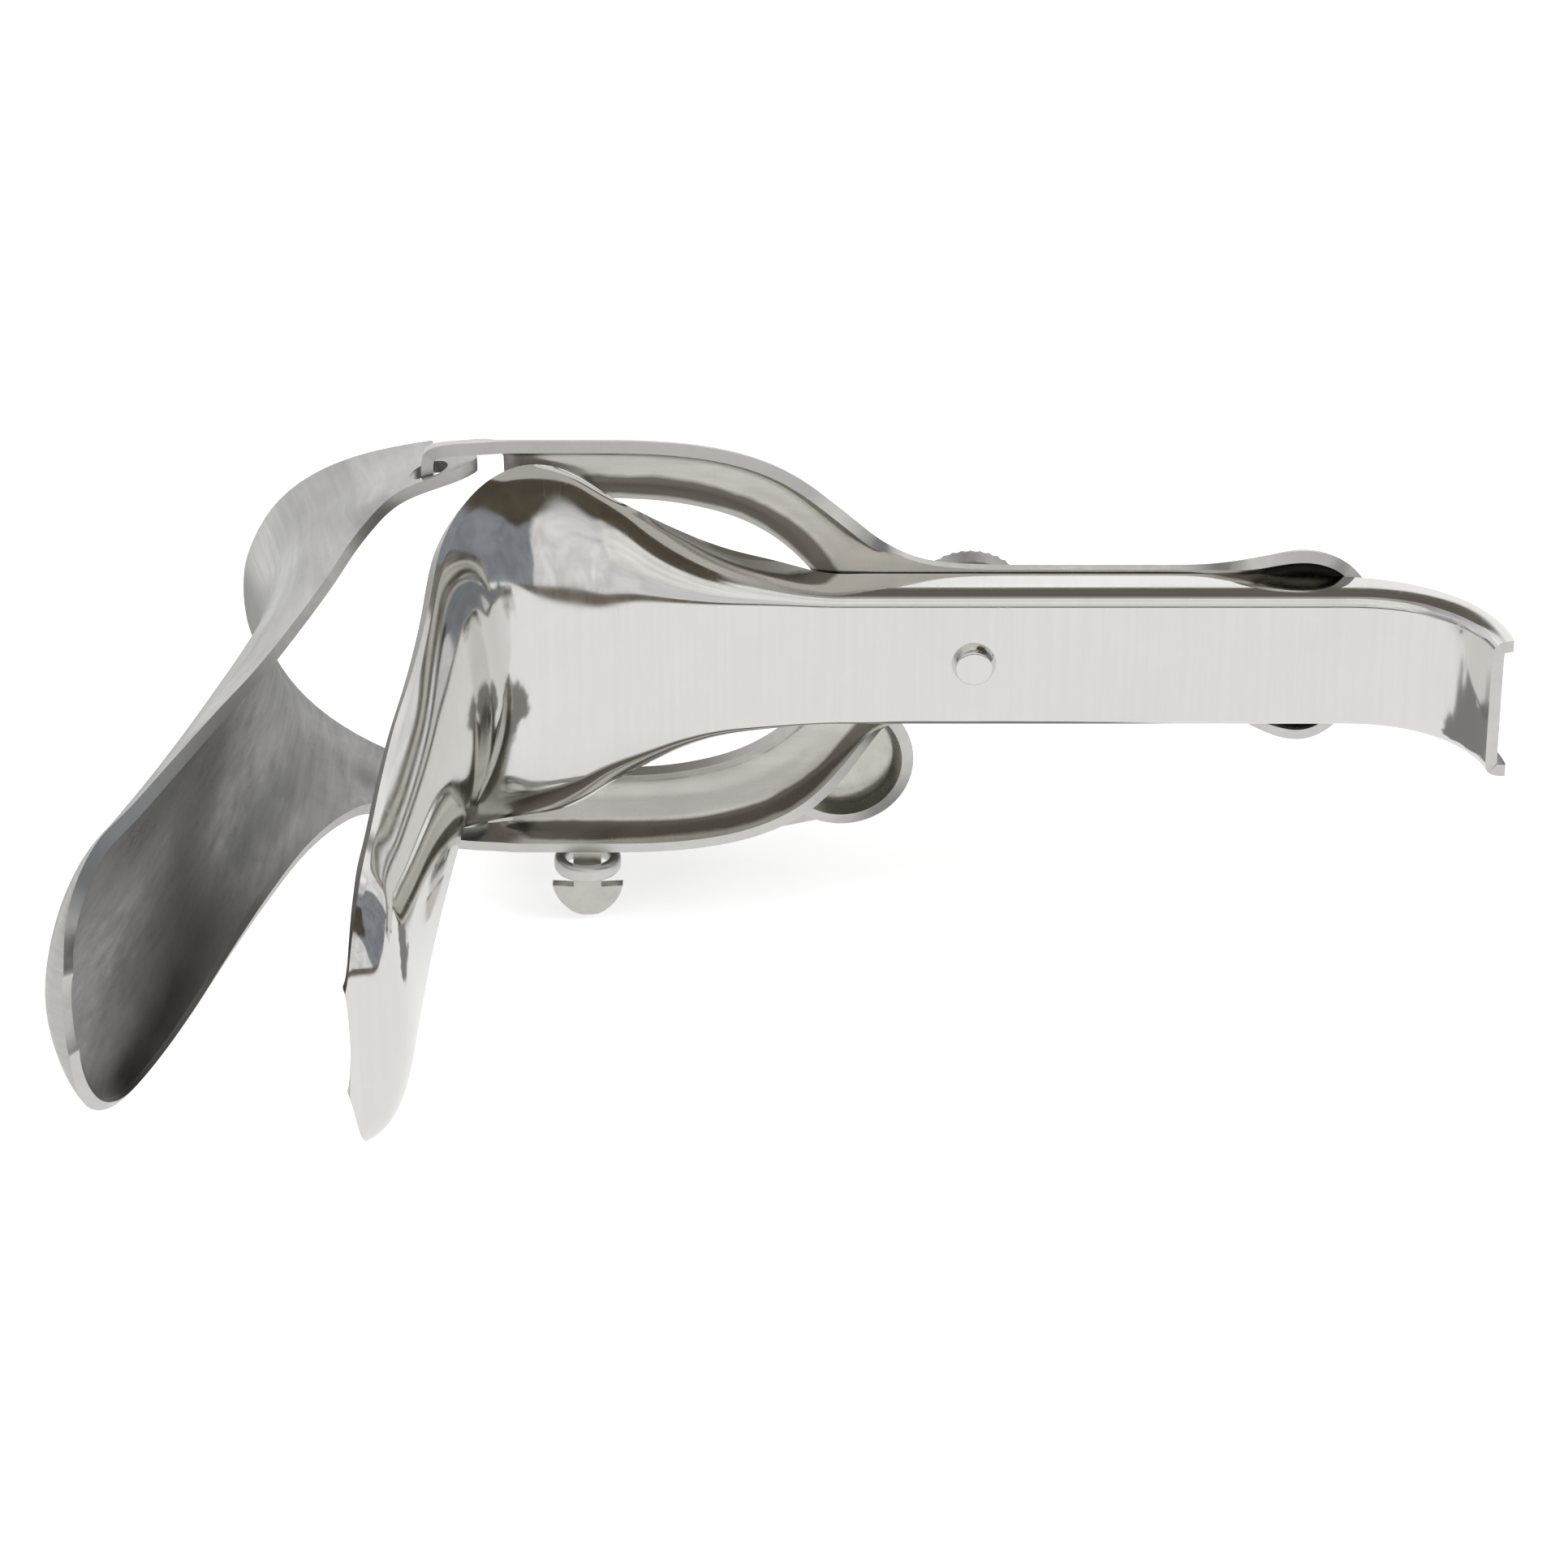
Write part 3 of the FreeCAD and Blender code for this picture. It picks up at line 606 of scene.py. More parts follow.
class SPECULUM_OT_lower_blade(SpeculumOperator, bpy.types.Operator):
    """Fixed blade, its flared mouth and the channel handle, folded from one sheet"""

    bl_idname = "speculum.lower_blade"
    bl_label = "Lower blade"

    def stations(self):
        rows = []
        for angle, depth in HOOK_ROWS:
            a = math.radians(angle)
            x = HOOK_CENTRE[0] + HOOK_RADIUS * math.sin(a)
            y = HOOK_CENTRE[1] + HOOK_RADIUS * math.cos(a)
            rows.append((x, y, math.sin(a), math.cos(a), HANDLE_HALF, depth, HANDLE_HALF, HANDLE_HALF - FOLD, 0.01))
        for x, depth in HANDLE_ROWS:
            rows.append((x, 0, 0, 1, HANDLE_HALF, depth, HANDLE_HALF, HANDLE_HALF - FOLD, 0.01))
        for x, rim, knee, flat, crown in FLARE_ROWS:
            rows.append((x, 0, 0, 1, rim, HANDLE_DEPTH, knee, flat, crown))
        for angle, rim, depth, knee in BEND_ROWS:
            a = math.radians(angle)
            nx, ny = -math.sin(a), math.cos(a)
            x, y = BEND_CENTRE[0] + BEND_RADIUS * nx, BEND_CENTRE[1] + BEND_RADIUS * ny
            rows.append((x, y, nx, ny, rim, depth, knee, 7.0, 0.5))
        for y, x, rim, depth in BLADE_ROWS:
            rows.append((x, y, -1, 0, rim, depth, rim - 2.6, 6.5, 0.6))
        for y, x, rim, depth in TIP_ROWS:
            rows.append((x, y, -1, 0, rim, depth, rim * TIP_KNEE, rim * TIP_FLAT, min(0.5, depth * 0.2)))
        return rows

    def execute(self, context):
        def place(x, y, z):
            return at(x, min(y, HANDLE_DEPTH) if x < -14 else y, z)

        rows = [section_row(station, place) for station in smooth_rows(self.stations(), 2.6)]
        bm = loft(rows)
        face_away(bm, at(10, 0, 0), (0, -1, 0))
        piece = add_piece("fixed_blade_and_handle", bm, steels("mirror_steel", "edge_steel", "brushed_steel"))
        as_sheet(piece)
        ease_edges(piece)
        seat(piece, "lower", "lower_blade")
        return {"FINISHED"}


class SPECULUM_OT_upper_blade(SpeculumOperator, bpy.types.Operator):
    """Hinged blade with its arched mouth and the two drilled ears"""

    bl_idname = "speculum.upper_blade"
    bl_label = "Upper blade"

    def execute(self, context):
        bm = loft(upper_rows(UPPER_ROWS))
        middle = upper_place()(*UPPER_ROWS[6][:2], 0)
        face_away(bm, middle, (-1, 0, 0))
        piece = add_piece("hinged_blade", bm, steels("ground_steel", "edge_steel", "brushed_steel"))
        as_sheet(piece)
        x, y = EAR_CENTRE
        hole = rod_cutter(EAR_HOLE, at(x, y, -30), at(x, y, 30))
        cut(piece, [self.ear_trim(), hole])
        ease_edges(piece)
        seat(piece, "upper", "upper_blade")
        return {"FINISHED"}

    def ear_trim(self):
        """Everything beyond the round ends of the ears."""
        x, y = EAR_CENTRE
        points = [(x, y - 30), (x + 30, y - 30), (x + 30, y + 30), (x, y + 30)]
        for k in range(25):
            a = math.radians(90 - 180 * k / 24)
            points.append((x + EAR_RADIUS * math.cos(a), y + EAR_RADIUS * math.sin(a)))
        bm = bmesh.new()
        bm.faces.new([bm.verts.new(at(px, py, -BEYOND)) for px, py in points])
        thicken(bm, 2 * BEYOND, (0, 0, 1))
        return bm


def upper_place():
    """Puts a point of the closed hinged blade where it stands with the blades opened."""
    angle = settings().blades.opening
    c, s = math.cos(-angle), math.sin(-angle)

    def place(x, y, z):
        return at(HINGE[0] + c * x - s * y, HINGE[1] + s * x + c * y, z)

    return place


def upper_rows(rows, spacing=2.4):
    place = upper_place()
    return [section_row(station, place) for station in smooth_rows(rows, spacing)]


class SPECULUM_OT_fork(SpeculumOperator, bpy.types.Operator):
    """Sliding fork: flanged arms with turned-in ears, slotted strap, cupped push pad and T-shaped lug"""

    bl_idname = "speculum.fork"
    bl_label = "Fork"

    ACROSS = 12
    EAR_ACROSS = 5

    def lip(self, x):
        """How far the flange stands out from the back of the strap."""
        full = STRAP_FRONT + SHEET - ARM_FRONT
        share = (x - LIP_START) / LIP_RUN
        return full * (1 - min(max(share, 0), 1))

    def arm_section(self, outer, inner, outward, lip):
        back = STRAP_FRONT + SHEET
        edge = Vector((outer[0], back, outer[1]))
        across = Vector((inner[0] - outer[0], 0, inner[1] - outer[1]))
        step = across.normalized()
        points = []
        fold = min(ARM_FOLD, lip * 0.8)
        draft = outward * ARM_DRAFT * lip / LIP_HEIGHT
        if lip > 0:
            points = [edge + Vector((0, -lip, 0)) + draft, edge + Vector((0, -fold, 0)) + draft * 0.4]
            for k in range(1, 7):
                a = math.radians(90 * k / 6)
                points.append(edge + Vector((0, -fold * (1 - math.sin(a)), 0)) + step * fold * (1 - math.cos(a)))
        else:
            points = [edge]
        flat = across - step * fold * (lip > 0)
        for k in range(1, 7):
            bow = ARM_BOW * lip / LIP_HEIGHT * math.sin(math.pi * k / 6)
            points.append(edge + across - flat * (1 - k / 6) + Vector((0, bow, 0)))
        return evenly(points, self.ACROSS)

    def rows(self):
        found = []
        outer_line = [pair[0] for pair in ARM_ROWS] + [(row[0], row[1]) for row in STRAP_ROWS]
        inner_line = [pair[1] for pair in ARM_ROWS] + [(row[2], 0.0) for row in STRAP_ROWS]
        for i, (outer, inner) in enumerate(zip(outer_line, inner_line)):
            a, b = outer_line[max(i - 1, 0)], outer_line[min(i + 1, len(outer_line) - 1)]
            outward = Vector((-(b[1] - a[1]), 0, b[0] - a[0])).normalized()
            found.append(self.arm_section(outer, inner, outward, self.lip(outer[0])))
        marks = [[k / (self.ACROSS - 1) * (outer[0] < -7) for k in range(self.ACROSS)] for outer in outer_line]
        for x, half, crown, rim in PAD_ROWS:
            # The inside of the pad's cup gets the full painted shade
            marks.append([2.0 * (x > 26 and k > 0) for k in range(self.ACROSS)])
            roundness = min(max(1 - (x - PAD_CUP_START) / PAD_CUP_RUN, 0.5), 1)
            row = []
            for k in range(41):
                z = math.cos(math.pi / 2 * k / 40) * half
                row.append(Vector((x, rim + (crown - rim) * max(1 - (z / half) ** 2, 0) ** roundness, z)))
            row[-1].z = 0.0
            found.append(evenly(row, self.ACROSS))
        return found, marks

    def ear_rows(self):
        found = []
        for x, front, back, low, high in EAR_ROWS:
            shares = [k / (self.EAR_ACROSS - 1) for k in range(self.EAR_ACROSS)]
            found.append([Vector((x, low + (high - low) * k, front + (back - front) * k)) for k in shares])
        return found

    def darken(self, bm):
        """Turns the marks of where a point lies across an arm into how much shade is painted there."""
        layer = bm.verts.layers.float["hollow"]
        for vert in bm.verts:
            mark = min(vert[layer], 1.0)
            if vert[layer] <= 1.0:
                line = PAINTED_SHADE_ABOVE if vert.co.z > 0 else PAINTED_SHADE_BELOW
                i = max(k for k in range(len(line) - 1) if line[k][0] <= mark)
                (a, low), (b, high) = line[i:i + 2]
                mark = low + (high - low) * (mark - a) / (b - a)
            vert[layer] = mark

    def execute(self, context):
        found, marks = self.rows()
        rows = [[at(*point) for point in row] for row in found]
        ears = [[at(*point) for point in row] for row in self.ear_rows()]
        bm = loft(rows, marks)
        first = rows[0][: self.EAR_ACROSS]
        pour(loft([first] + ears), bm)
        bmesh.ops.remove_doubles(bm, verts=bm.verts, dist=1e-6)
        bmesh.ops.mirror(bm, geom=bm.verts[:] + bm.edges[:] + bm.faces[:], matrix=Matrix.Identity(4), merge_dist=1e-6,
                         axis="Z")
        self.darken(bm)
        face_away(bm, at(20, STRAP_FRONT + SHEET, 4), (0, 1, 0))
        piece = add_piece("sliding_fork", bm, steels("satin_steel", "edge_steel", "gutter_steel_painted_shade"))
        as_sheet(piece)
        cut(piece, [self.slot()])
        self.join_lug(piece)
        ease_edges(piece)
        seat(piece, "yoke", "fork")
        return {"FINISHED"}

    def slot(self):
        """The long hole in which the stud runs."""
        points = []
        for end, start in ((SLOT_LENGTH, -90), (0, 90)):
            for k in range(17):
                a = math.radians(start + 180 * k / 16)
                points.append((end + SLOT_HALF * math.cos(a), SLOT_HALF * math.sin(a)))
        bm = outline(points, 0)
        thicken(bm, 10)
        move(bm, shift(0, STRAP_FRONT - 4, 0))
        return bm

    def join_lug(self, piece):
        """Neck and head of the lug, bent out from the lower arm's flange."""
        neck = outline(((-1.75, -27.3), (1.75, -27.3), (1.75, -33.4), (-1.75, -33.4)), 0)
        half = ((4.45, -33.0), (4.2, -33.9), (3.8, -34.75), (3.3, -35.5), (2.7, -36.1), (2.05, -36.65), (1.4, -37.0),
                (0.7, -37.17))
        head = outline([(0, -33.2), (1.75, -33.15)] + list(half) + [(-x, z) for x, z in reversed(half)] +
                       [(-1.75, -33.15)], 0)
        for plate in (neck, head):
            thicken(plate, SHEET)
        place = shift(HOOK_X, LUG_FRONT, 0)
        combine(piece, joined([(neck, place), (head, place)]), "UNION", True)


class SPECULUM_OT_handle_stud(SpeculumOperator, bpy.types.Operator):
    """Screw stud through the handle, with its low head in front and its thread behind"""

    bl_idname = "speculum.handle_stud"
    bl_label = "Handle stud"

    def execute(self, context):
        head = turned(((0, -1.5), (1.95, -1.5), (2.2, -1.42), (2.34, -1.2), (2.5, -0.9), (2.72, -0.12), (2.75, 0.0),
                       (2.2, 0.02), (2.2, 8.4), (1.95, 8.5), (1.95, 17.6), (1.5, 18.2), (0, 18.2)), 64)
        screw = thread(2.2, 0.3, 0.7, 8.5, 17.9)
        place = shift(0, 0, 0)
        piece = add_piece("stud", joined([(head, place), (screw, place)]), steels("mirror_steel"))
        ease_edges(piece, 0.00006, 2, 35)
        seat(piece, "lower", "handle_stud")
        return {"FINISHED"}


class SPECULUM_OT_knurled_nuts(SpeculumOperator, bpy.types.Operator):
    """The handle nut and the rod nut, turned and knurled"""

    bl_idname = "speculum.knurled_nuts"
    bl_label = "Knurled nuts"

    def nut(self, name, profile, band, place, body, node):
        teeth = settings().nuts.teeth
        radius, low, high = band
        rings = max(round((high - low) / (math.tau * radius / teeth)) + 1, 3)
        rim = [(radius, low + (high - low) * k / (rings - 1)) for k in range(rings)]
        bm = turned(profile[0] + tuple(rim) + profile[1], teeth)
        knurl(bm, radius, low, high, rings, teeth, settings().nuts.depth / MM)
        move(bm, place)
        piece = add_piece(name, bm, steels("turned_steel"))
        piece.data.set_sharp_from_angle(angle=math.radians(28))
        seat(piece, body, node)

    def execute(self, context):
        seat_y = STRAP_FRONT + SHEET
        lower = ((2.25, seat_y), (6.4, seat_y), (6.6, seat_y + 0.2), (6.8, seat_y + 1.6), (6.95, 11.2), (7.35, 12.6),
                 (7.7, 13.5))
        upper = ((7.55, 16.95), (7.2, 17.2), (4.2, 17.2), (3.9, 16.9), (3.2, 16.9), (2.25, 17.2), (2.25, seat_y))
        self.nut("handle_nut_knurled", (lower, upper), (7.8, 13.7, 16.7), shift(0, 0, 0), "stud_nut", "handle_nut")
        lower = ((1.8, 21.0), (4.4, 21.0), (4.6, 21.2), (4.7, 22.2), (5.1, 22.6), (5.8, 23.0))
        upper = ((5.8, 27.75), (5.5, 28.0), (3.4, 28.0), (3.1, 27.7), (2.5, 27.7), (1.8, 28.0), (1.8, 21.0))
        self.nut("rod_nut_knurled", (lower, upper), (6.0, 23.2, 27.6), shift(HOOK_X, 0, HOOK_Z), "set_nut", "rod_nut")
        return {"FINISHED"}


class SPECULUM_OT_thumb_lever(SpeculumOperator, bpy.types.Operator):
    """Thumb lever: curved root on the hinged blade, flat arm and cupped thumb pad"""

    bl_idname = "speculum.thumb_lever"
    bl_label = "Thumb lever"

    def root(self):
        bm = loft(upper_rows(UPPER_ROWS[:6], 1.2))
        face_away(bm, upper_place()(*UPPER_ROWS[1][:2], 0), (-1, 0, 0))
        (x0, y0), (x1, y1) = LEVER_ROOT
        planes = (((x0, 0, 0), (-1, 0, 0)), ((x1, 0, 0), (1, 0, 0)), ((0, y0, 0), (0, -1, 0)),
                  ((0, y1, 0), (0, 1, 0)), ((0, 0, -12), (0, 0, 1)))
        for point, away in planes:
            geom = bm.verts[:] + bm.edges[:] + bm.faces[:]
            bmesh.ops.bisect_plane(bm, geom=geom, plane_co=at(*point), plane_no=away, clear_outer=True)
        return bm

    def execute(self, context):
        finishes = steels("satin_steel", "edge_steel", "satin_steel")
        root = add_piece("lever_root", self.root(), finishes)
        solid = root.modifiers.new("Strap", "SOLIDIFY")
        solid.thickness = LEVER_SHEET * MM
        solid.offset = 1
        solid.use_even_offset = True
        settle(root)
        arm = outline(LEVER_PLAN, 1.6)
        thicken(arm, LEVER_SHEET)
        move(arm, shift(0, LEVER_FRONT, 0))
        piece = add_piece("thumb_lever_and_pad", arm, finishes, smooth=False)
        place = shift(PAD_CENTRE[0], LEVER_FRONT, PAD_CENTRE[1])
        pad = turned(PAD_PROFILE, 72)
        face_away(pad, Vector((0, PAD_RISE * MM, 0)), (0, 1, 0))
        move(pad, place)
        cap = add_piece("pad", pad, steels("satin_steel", "edge_steel", "mirror_steel"))
        as_sheet(cap, 1)
        inside = [(r - PAD_SHEET * (r > PAD_SHEET), y - PAD_SHEET) for r, y in reversed(PAD_PROFILE)]
        hollow = turned([(0, -2.0)] + inside, 72)
        move(hollow, place)
        cut(piece, [hollow])
        whole = bmesh.new()
        for part in (piece, cap, root):
            whole.from_mesh(part.data)
        old = piece.data
        for part in (cap, root):
            bpy.data.meshes.remove(part.data)
        mesh = bpy.data.meshes.new("thumb_lever_and_pad")
        whole.to_mesh(mesh)
        whole.free()
        for material in finishes:
            mesh.materials.append(material)
        piece.data = mesh
        bpy.data.meshes.remove(old)
        ease_edges(piece)
        seat(piece, "upper", "thumb_lever")
        return {"FINISHED"}


class SPECULUM_OT_lever_rivets(SpeculumOperator, bpy.types.Operator):
    """The two rivets that hold the lever to the hinged blade"""

    bl_idname = "speculum.lever_rivets"
    bl_label = "Lever rivets"

    def execute(self, context):
        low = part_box("lever_rivets")[0]
        parts = []
        for x, y in RIVETS:
            rivet = turned(((0, 0), (0.9, 0.08), (1.6, 0.38), (2.0, 0.9), (2.0, 1.2), (1.2, 1.3), (1.2, 4.4),
                            (2.0, 4.5), (2.0, 4.9), (1.5, 5.3), (0, 5.5)), 40)
            parts.append((rivet, Matrix.Translation((at(x, y, 0).x, y * MM, low.z)) @ UPRIGHT))
        piece = add_piece("rivets", joined(parts), steels("turned_steel"))
        seat(piece, "upper", "lever_rivets")
        return {"FINISHED"}


class SPECULUM_OT_tension_rod(SpeculumOperator, bpy.types.Operator):
    """Threaded rod with its flat eye and end stop"""

    bl_idname = "speculum.tension_rod"
    bl_label = "Tension rod"

    def execute(self, context):
        y = EAR_CENTRE[1]
        profile = []
        for k in range(24):
            c, s = math.cos(math.tau * k / 24), math.sin(math.tau * k / 24)
            profile.append((3.5 + 0.75 * math.copysign(abs(c) ** 0.6, c), math.copysign(abs(s) ** 0.6, s)))
        profile.append(profile[0])
        eye = turned(profile, 48)
        rod = turned(((0, 8.9), (1.4, 9.0), (1.45, 10.4), (1.45, 35.6), (1.75, 36.0), (1.75, 37.0), (2.3, 37.05),
                      (2.45, 37.3), (2.45, 37.9), (2.2, 38.2), (0, 38.2)), 40)
        screw = thread(1.75, 0.3, 0.6, 10.6, 35.8)
        place = shift(HOOK_X, 0, HOOK_Z)
        parts = [(eye, shift(HOOK_X, y, HOOK_Z) @ UPRIGHT), (rod, place), (screw, place)]
        piece = add_piece("threaded_rod", joined(parts), steels("turned_steel"))
        piece.data.set_sharp_from_angle(angle=math.radians(40))
        seat(piece, "rod", "tension_rod")
        return {"FINISHED"}


class SPECULUM_OT_stage(SpeculumOperator, bpy.types.Operator):
    """White floor, studio light and the camera"""

    bl_idname = "speculum.stage"
    bl_label = "Stage"

    # On the floor as the steel mirrors it: centre and half size of the shade, and centre of a dim spot
    SHADE_CENTRE = (0.000, 0.052)
    SHADE_SIZE = (0.030, 0.036)
    DIM_SPOT = (-0.14, 0.07)
    # How far the room's patches are bent out of shape, and their directions, cosines of the outer and inner edge,
    # and colours as the steel mirrors them
    UNEVEN = 0.14
    PATCHES = (
        ((0.0, 0.89, 0.42), 0.86, 0.95, (1.06, 1.06, 1.05)),
        ((-0.95, -0.25, 0.15), 0.70, 0.84, (0.40, 0.40, 0.40)),
        ((0.95, 0.12, 0.30), 0.78, 0.82, (0.25, 0.272, 0.30)),
        ((0.0, -1.0, 0.12), 0.955, 0.985, (0.17, 0.15, 0.125)),
        ((-0.20, -0.58, 0.80), 0.755, 0.80, (0.90, 0.89, 0.86)),
        ((0.05, 0.58, 0.81), 0.935, 0.97, (0.15, 0.135, 0.115)),
        ((0.55, -0.23, 0.81), 0.91, 0.95, (0.09, 0.075, 0.055)),
    )

    def floor_material(self):
        stage = settings().stage
        material = bpy.data.materials.new("floor_white")
        material.use_nodes = True
        tree = material.node_tree
        tree.nodes.clear()
        path = add_node(tree, "LightPath")
        seen = add_node(tree, "Math", operation="MAXIMUM")
        lit = add_node(tree, "BsdfDiffuse", {"Color": (0.82, 0.82, 0.82, 1)})
        glow = add_node(tree, "Emission", {"Color": (1, 1, 1, 1), "Strength": 0.55})
        both = add_node(tree, "AddShader")
        mirror = add_node(tree, "Emission")
        place = add_node(tree, "TexCoord")
        split = add_node(tree, "SeparateXYZ")
        edge = add_node(tree, "MapRange", {"From Min": -0.34, "From Max": -0.55}, interpolation_type="SMOOTHSTEP")
        table = add_node(tree, "Mix", {"A": (*stage.floor, 1), "B": (*stage.room, 1)}, data_type="RGBA")
        ragged = add_node(tree, "TexNoise", {"Scale": 60.0, "Detail": 4.0})
        spot = add_node(tree, "VectorMath", {1: (0.045, 0.045, 0)}, operation="MULTIPLY_ADD")
        spread = add_node(tree, "Mapping", {"Location": (*self.SHADE_CENTRE, stage.floor_height),
                          "Scale": (*self.SHADE_SIZE, 1)}, vector_type="TEXTURE")
        reach = add_node(tree, "VectorMath", operation="LENGTH")
        shade = add_node(tree, "MapRange", {"From Min": 1.06, "From Max": 0.94})
        below = add_node(tree, "VectorMath", {1: (*self.DIM_SPOT, stage.floor_height)}, operation="DISTANCE")
        fade = add_node(tree, "MapRange", {"From Min": 0.03, "From Max": 0.12, "To Min": 0.5},
                        interpolation_type="SMOOTHSTEP")
        dim = add_node(tree, "Mix", {"Factor": 1.0}, data_type="RGBA", blend_type="MULTIPLY")
        shaded = add_node(tree, "Mix", {"B": (*stage.shade, 1)}, data_type="RGBA")
        connect(tree, (place, "Object", split, 0), (split, "Y", edge, "Value"), (edge, "Result", table, "Factor"),
                (place, "Object", ragged, "Vector"), (ragged, "Color", spot, 0), (place, "Object", spot, 2),
                (spot, "Vector", spread, "Vector"), (spread, "Vector", reach, 0), (reach, "Value", shade, "Value"),
                (shade, "Result", shaded, "Factor"), (place, "Object", below, 0), (below, "Value", fade, "Value"),
                (table, "Result", dim, "A"), (fade, "Result", dim, "B"), (dim, "Result", shaded, "A"),
                (shaded, "Result", mirror, "Color"))
        pick_camera = add_node(tree, "MixShader")
        pick_glossy = add_node(tree, "MixShader")
        out = add_node(tree, "OutputMaterial")
        connect(tree, (lit, 0, both, 0), (glow, 0, both, 1), (path, "Is Glossy Ray", seen, 0),
                (path, "Is Transmission Ray", seen, 1), (path, "Is Camera Ray", pick_camera, 0),
                (lit, 0, pick_camera, 1), (both, 0, pick_camera, 2), (seen, 0, pick_glossy, 0),
                (pick_camera, 0, pick_glossy, 1), (mirror, 0, pick_glossy, 2), (pick_glossy, 0, out, "Surface"))
        return material

    def world(self):
        """A light room with a dark ceiling at the back, its front and right side in shadow."""
        world = bpy.data.worlds.new("studio")
        bpy.context.scene.world = world
        world.use_nodes = True
        tree = world.node_tree
        tree.nodes.clear()
        place = add_node(tree, "TexCoord")
        ripple = add_node(tree, "TexNoise", {"Scale": 2.6, "Detail": 3.0})
        uneven = add_node(tree, "VectorMath", {1: (self.UNEVEN,) * 3}, operation="MULTIPLY_ADD")
        split = add_node(tree, "SeparateXYZ")
        rise = add_node(tree, "MapRange", {"From Min": -1.0})
        height = add_node(tree, "ValToRGB")
        ramp = height.color_ramp
        ramp.elements[0].position = 0.0
        ramp.elements[0].color = (0.72, 0.72, 0.72, 1)
        ramp.elements[1].position = 1.0
        ramp.elements[1].color = (0.42, 0.41, 0.40, 1)
        for position, value in ((0.5, 0.70), (0.62, 0.80), (0.76, 0.76), (0.87, 0.64), (0.93, 0.5)):
            element = ramp.elements.new(position)
            element.color = (value, value, value, 1)
        connect(tree, (place, "Generated", ripple, "Vector"), (ripple, "Color", uneven, 0),
                (place, "Generated", uneven, 2), (uneven, "Vector", split, 0), (split, "Z", rise, "Value"),
                (rise, "Result", height, "Fac"))
        colour = height.outputs["Color"]
        for direction, outer, inner, shade in self.PATCHES:
            toward = add_node(tree, "VectorMath", {1: Vector(direction).normalized()}, operation="DOT_PRODUCT")
            low, high = outer + self.UNEVEN / 2, inner + self.UNEVEN / 2
            edge = add_node(tree, "MapRange", {"From Min": low, "From Max": high},
                            interpolation_type="SMOOTHSTEP")
            patch = add_node(tree, "Mix", {"B": (*shade, 1)}, data_type="RGBA")
            connect(tree, (uneven, "Vector", toward, 0), (toward, "Value", edge, "Value"),
                    (edge, "Result", patch, "Factor"), (colour, patch, "A"))
            colour = patch.outputs["Result"]
        clutter = add_node(tree, "TexNoise", {"Scale": 5.5, "Detail": 5.0, "Distortion": 0.8})
        strength = add_node(tree, "MapRange", {"From Min": 0.3, "From Max": 0.7, "To Min": 0.78, "To Max": 1.16})
        path = add_node(tree, "LightPath")
        room = add_node(tree, "Background")
        white = add_node(tree, "Background", {"Color": (1, 1, 1, 1)})
        connect(tree, (place, "Generated", clutter, "Vector"), (clutter, "Fac", strength, "Value"),
                (strength, "Result", room, "Strength"))
        pick = add_node(tree, "MixShader")
        out = add_node(tree, "OutputWorld")
        connect(tree, (colour, room, "Color"), (path, "Is Camera Ray", pick, 0), (room, 0, pick, 1),
                (white, 0, pick, 2), (pick, 0, out, "Surface"))

    def softbox(self, name, place, aim, size, power):
        light = bpy.data.lights.new(name, "AREA")
        light.shape = "RECTANGLE"
        light.size, light.size_y = size
        light.energy = power
        lamp = bpy.data.objects.new(name, light)
        lamp.visible_glossy = False
        lamp.location = place
        lamp.rotation_euler = (Vector(aim) - Vector(place)).to_track_quat("-Z", "Y").to_euler()
        bpy.context.scene.collection.objects.link(lamp)

    def execute(self, context):
        stage = settings().stage
        bm = bmesh.new()
        bmesh.ops.create_grid(bm, x_segments=1, y_segments=1, size=6.0)
        bmesh.ops.translate(bm, vec=(0, 0, stage.floor_height), verts=bm.verts)
        floor = add_piece("floor", bm, [self.floor_material()])
        self.world()
        self.softbox("softbox_left", (-0.9, -0.5, 0.75), (-0.05, -0.03, 0), (0.7, 0.7), 6)
        self.softbox("softbox_right", (0.9, -0.3, 0.8), (-0.05, -0.03, 0), (0.7, 0.7), 6)
        camera = bpy.data.cameras.new("camera")
        camera.sensor_width = 36.0
        camera.lens = stage.lens
        camera.clip_start = 0.01
        eye = bpy.data.objects.new("camera", camera)
        target = Vector(stage.target)
        tilt = stage.elevation
        eye.location = target + stage.distance * Vector((0, -math.cos(tilt), math.sin(tilt)))
        eye.rotation_euler = (math.pi / 2 - tilt, 0, 0)
        bpy.context.scene.collection.objects.link(eye)
        bpy.context.scene.camera = eye
        bpy.context.scene.view_settings.view_transform = "Standard"
        return {"FINISHED"}


# Settings


class SheetSettings(bpy.types.PropertyGroup):
    thickness: FloatProperty(name="Sheet", description="Thickness of the steel sheet", default=SHEET * MM,
                             unit="LENGTH", subtype="DISTANCE")
    edge: FloatProperty(name="Eased edge", description="Rounding of the sheet's edges", default=0.22 * MM,
                        unit="LENGTH", subtype="DISTANCE")
    smoothing: IntProperty(name="Smoothing", description="Subdivision of the formed sheets", default=2, min=0, max=3)


class BladeSettings(bpy.types.PropertyGroup):
    opening: FloatProperty(name="Opening", description="Angle by which the hinged blade stands open",
                           default=math.radians(20), unit="ROTATION", subtype="ANGLE")


class NutSettings(bpy.types.PropertyGroup):
    teeth: IntProperty(name="Knurl teeth", description="Teeth round a nut, an even number", default=84, min=24)
    depth: FloatProperty(name="Knurl depth", description="Depth of the knurling", default=0.3 * MM, unit="LENGTH",
                         subtype="DISTANCE", precision=5)


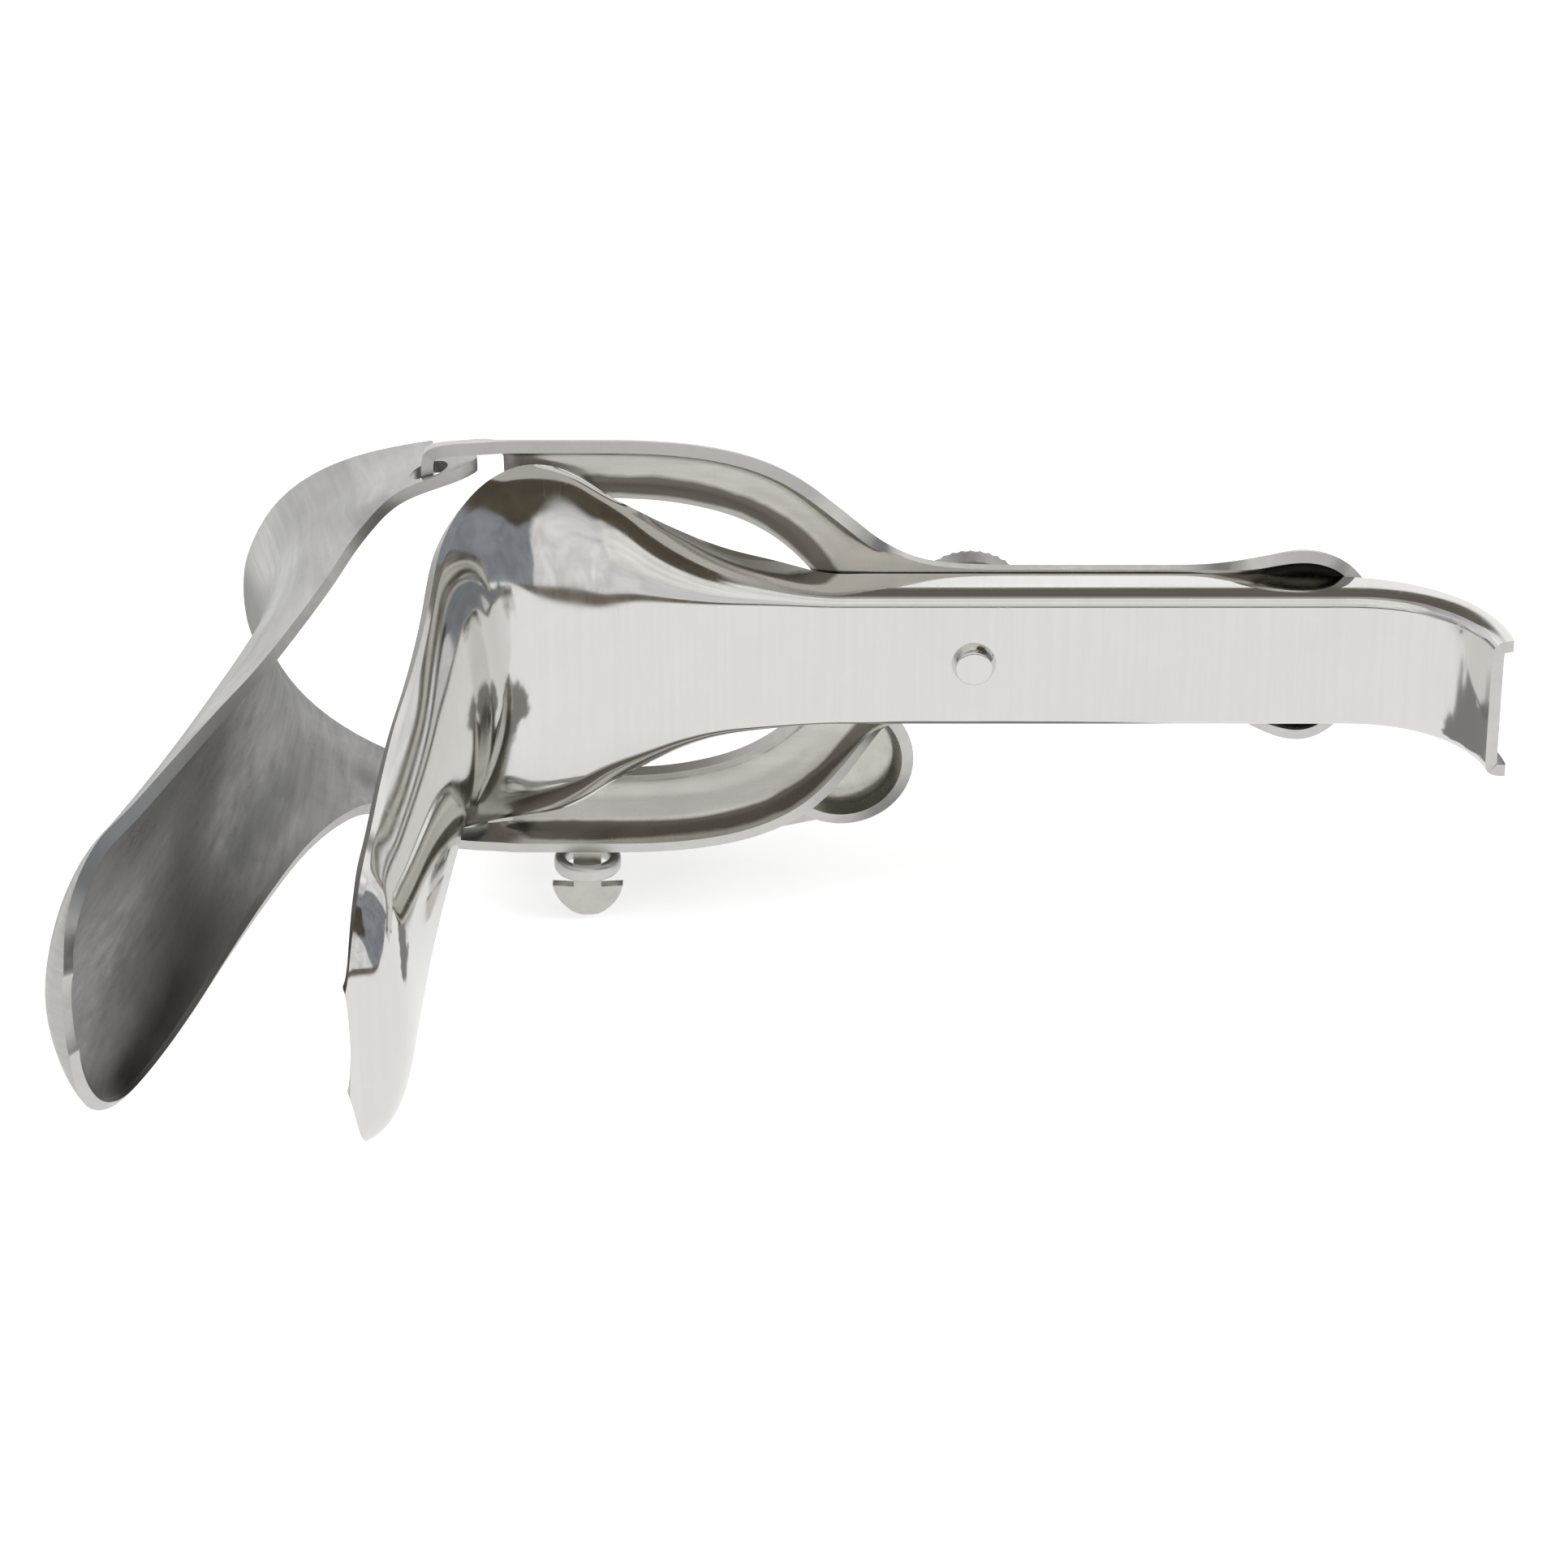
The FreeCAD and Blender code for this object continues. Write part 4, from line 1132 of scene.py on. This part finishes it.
class SteelSettings(bpy.types.PropertyGroup):
    bright: FloatVectorProperty(name="Mirror steel", description="Colour of the mirror-polished faces",
                                default=(0.80, 0.79, 0.77), subtype="COLOR", size=3)
    grey: FloatVectorProperty(name="Turned steel", description="Colour of the turned faces",
                              default=(0.72, 0.715, 0.70), subtype="COLOR", size=3)
    inside: FloatVectorProperty(name="Brushed steel", description="Colour of the brushed insides of the blades",
                                default=(0.31, 0.305, 0.295), subtype="COLOR", size=3)
    # Colour of the painted shade in the fork's hollows and its pad's cup
    painted_shade: FloatVectorProperty(name="Painted shade on steel", description="Colour of the shade painted into the fork's hollows and pad",
                                    default=(0.17, 0.155, 0.135), subtype="COLOR", size=3)
    warm: FloatVectorProperty(name="Satin steel", description="Colour of the satin faces",
                              default=(0.68, 0.66, 0.62), subtype="COLOR", size=3)
    ground: FloatVectorProperty(name="Ground steel", description="Colour of the faces left from the grinding belt",
                                default=(0.60, 0.595, 0.58), subtype="COLOR", size=3)
    edge: FloatVectorProperty(name="Ground edge", description="Colour of the ground sheet edges",
                              default=(0.70, 0.69, 0.665), subtype="COLOR", size=3)


class StageSettings(bpy.types.PropertyGroup):
    floor: FloatVectorProperty(name="Floor", description="Floor as the steel mirrors it", default=(0.92, 0.92, 0.91),
                               subtype="COLOR", size=3)
    room: FloatVectorProperty(name="Room", description="Dark room in front of the table as the steel mirrors it",
                              default=(0.15, 0.13, 0.105), subtype="COLOR", size=3)
    shade: FloatVectorProperty(name="Shade", description="Floor beneath the instrument as the steel mirrors it",
                               default=(0.24, 0.235, 0.225), subtype="COLOR", size=3)
    floor_height: FloatProperty(name="Floor height", description="Height of the floor", default=-0.0382,
                                unit="LENGTH", subtype="DISTANCE")
    target: FloatVectorProperty(name="Target", description="Point that the camera looks at",
                                default=(-0.0474, -0.0326, 0), unit="LENGTH", subtype="TRANSLATION", size=3)
    distance: FloatProperty(name="Distance", description="Camera to target", default=0.6, unit="LENGTH",
                            subtype="DISTANCE")
    elevation: FloatProperty(name="Elevation", description="Height angle of the camera", default=math.radians(27),
                             unit="ROTATION", subtype="ANGLE")
    lens: FloatProperty(name="Lens", description="Focal length in millimetres", default=117.2)


class SpeculumSettings(bpy.types.PropertyGroup):
    sheet: PointerProperty(type=SheetSettings)
    blades: PointerProperty(type=BladeSettings)
    nuts: PointerProperty(type=NutSettings)
    steel: PointerProperty(type=SteelSettings)
    stage: PointerProperty(type=StageSettings)


BUILDERS = (SPECULUM_OT_lower_blade, SPECULUM_OT_upper_blade, SPECULUM_OT_fork, SPECULUM_OT_handle_stud,
            SPECULUM_OT_knurled_nuts, SPECULUM_OT_thumb_lever, SPECULUM_OT_lever_rivets, SPECULUM_OT_tension_rod,
            SPECULUM_OT_stage)


class SPECULUM_PT_panel(bpy.types.Panel):
    """The speculum's settings and its pieces"""

    bl_label = "Speculum"
    bl_idname = "SPECULUM_PT_panel"
    bl_space_type = "VIEW_3D"
    bl_region_type = "UI"
    bl_category = "Speculum"

    def draw(self, context):
        for name in ("sheet", "blades", "nuts", "steel", "stage"):
            box = self.layout.box()
            box.label(text=name.capitalize())
            group = getattr(settings(), name)
            for key in group.bl_rna.properties.keys():
                if key not in ("rna_type", "name"):
                    box.prop(group, key)
        for builder in BUILDERS:
            self.layout.operator(builder.bl_idname)


CLASSES = (SheetSettings, BladeSettings, NutSettings, SteelSettings, StageSettings, SpeculumSettings, *BUILDERS,
           SPECULUM_PT_panel)


def register():
    for cls in CLASSES:
        bpy.utils.register_class(cls)
    bpy.types.Scene.speculum = PointerProperty(type=SpeculumSettings)


def unregister():
    del bpy.types.Scene.speculum
    for cls in reversed(CLASSES):
        bpy.utils.unregister_class(cls)


def main():
    register()
    for builder in BUILDERS:
        group, name = builder.bl_idname.split(".")
        getattr(getattr(bpy.ops, group), name)()


if __name__ == "__main__":
    main()
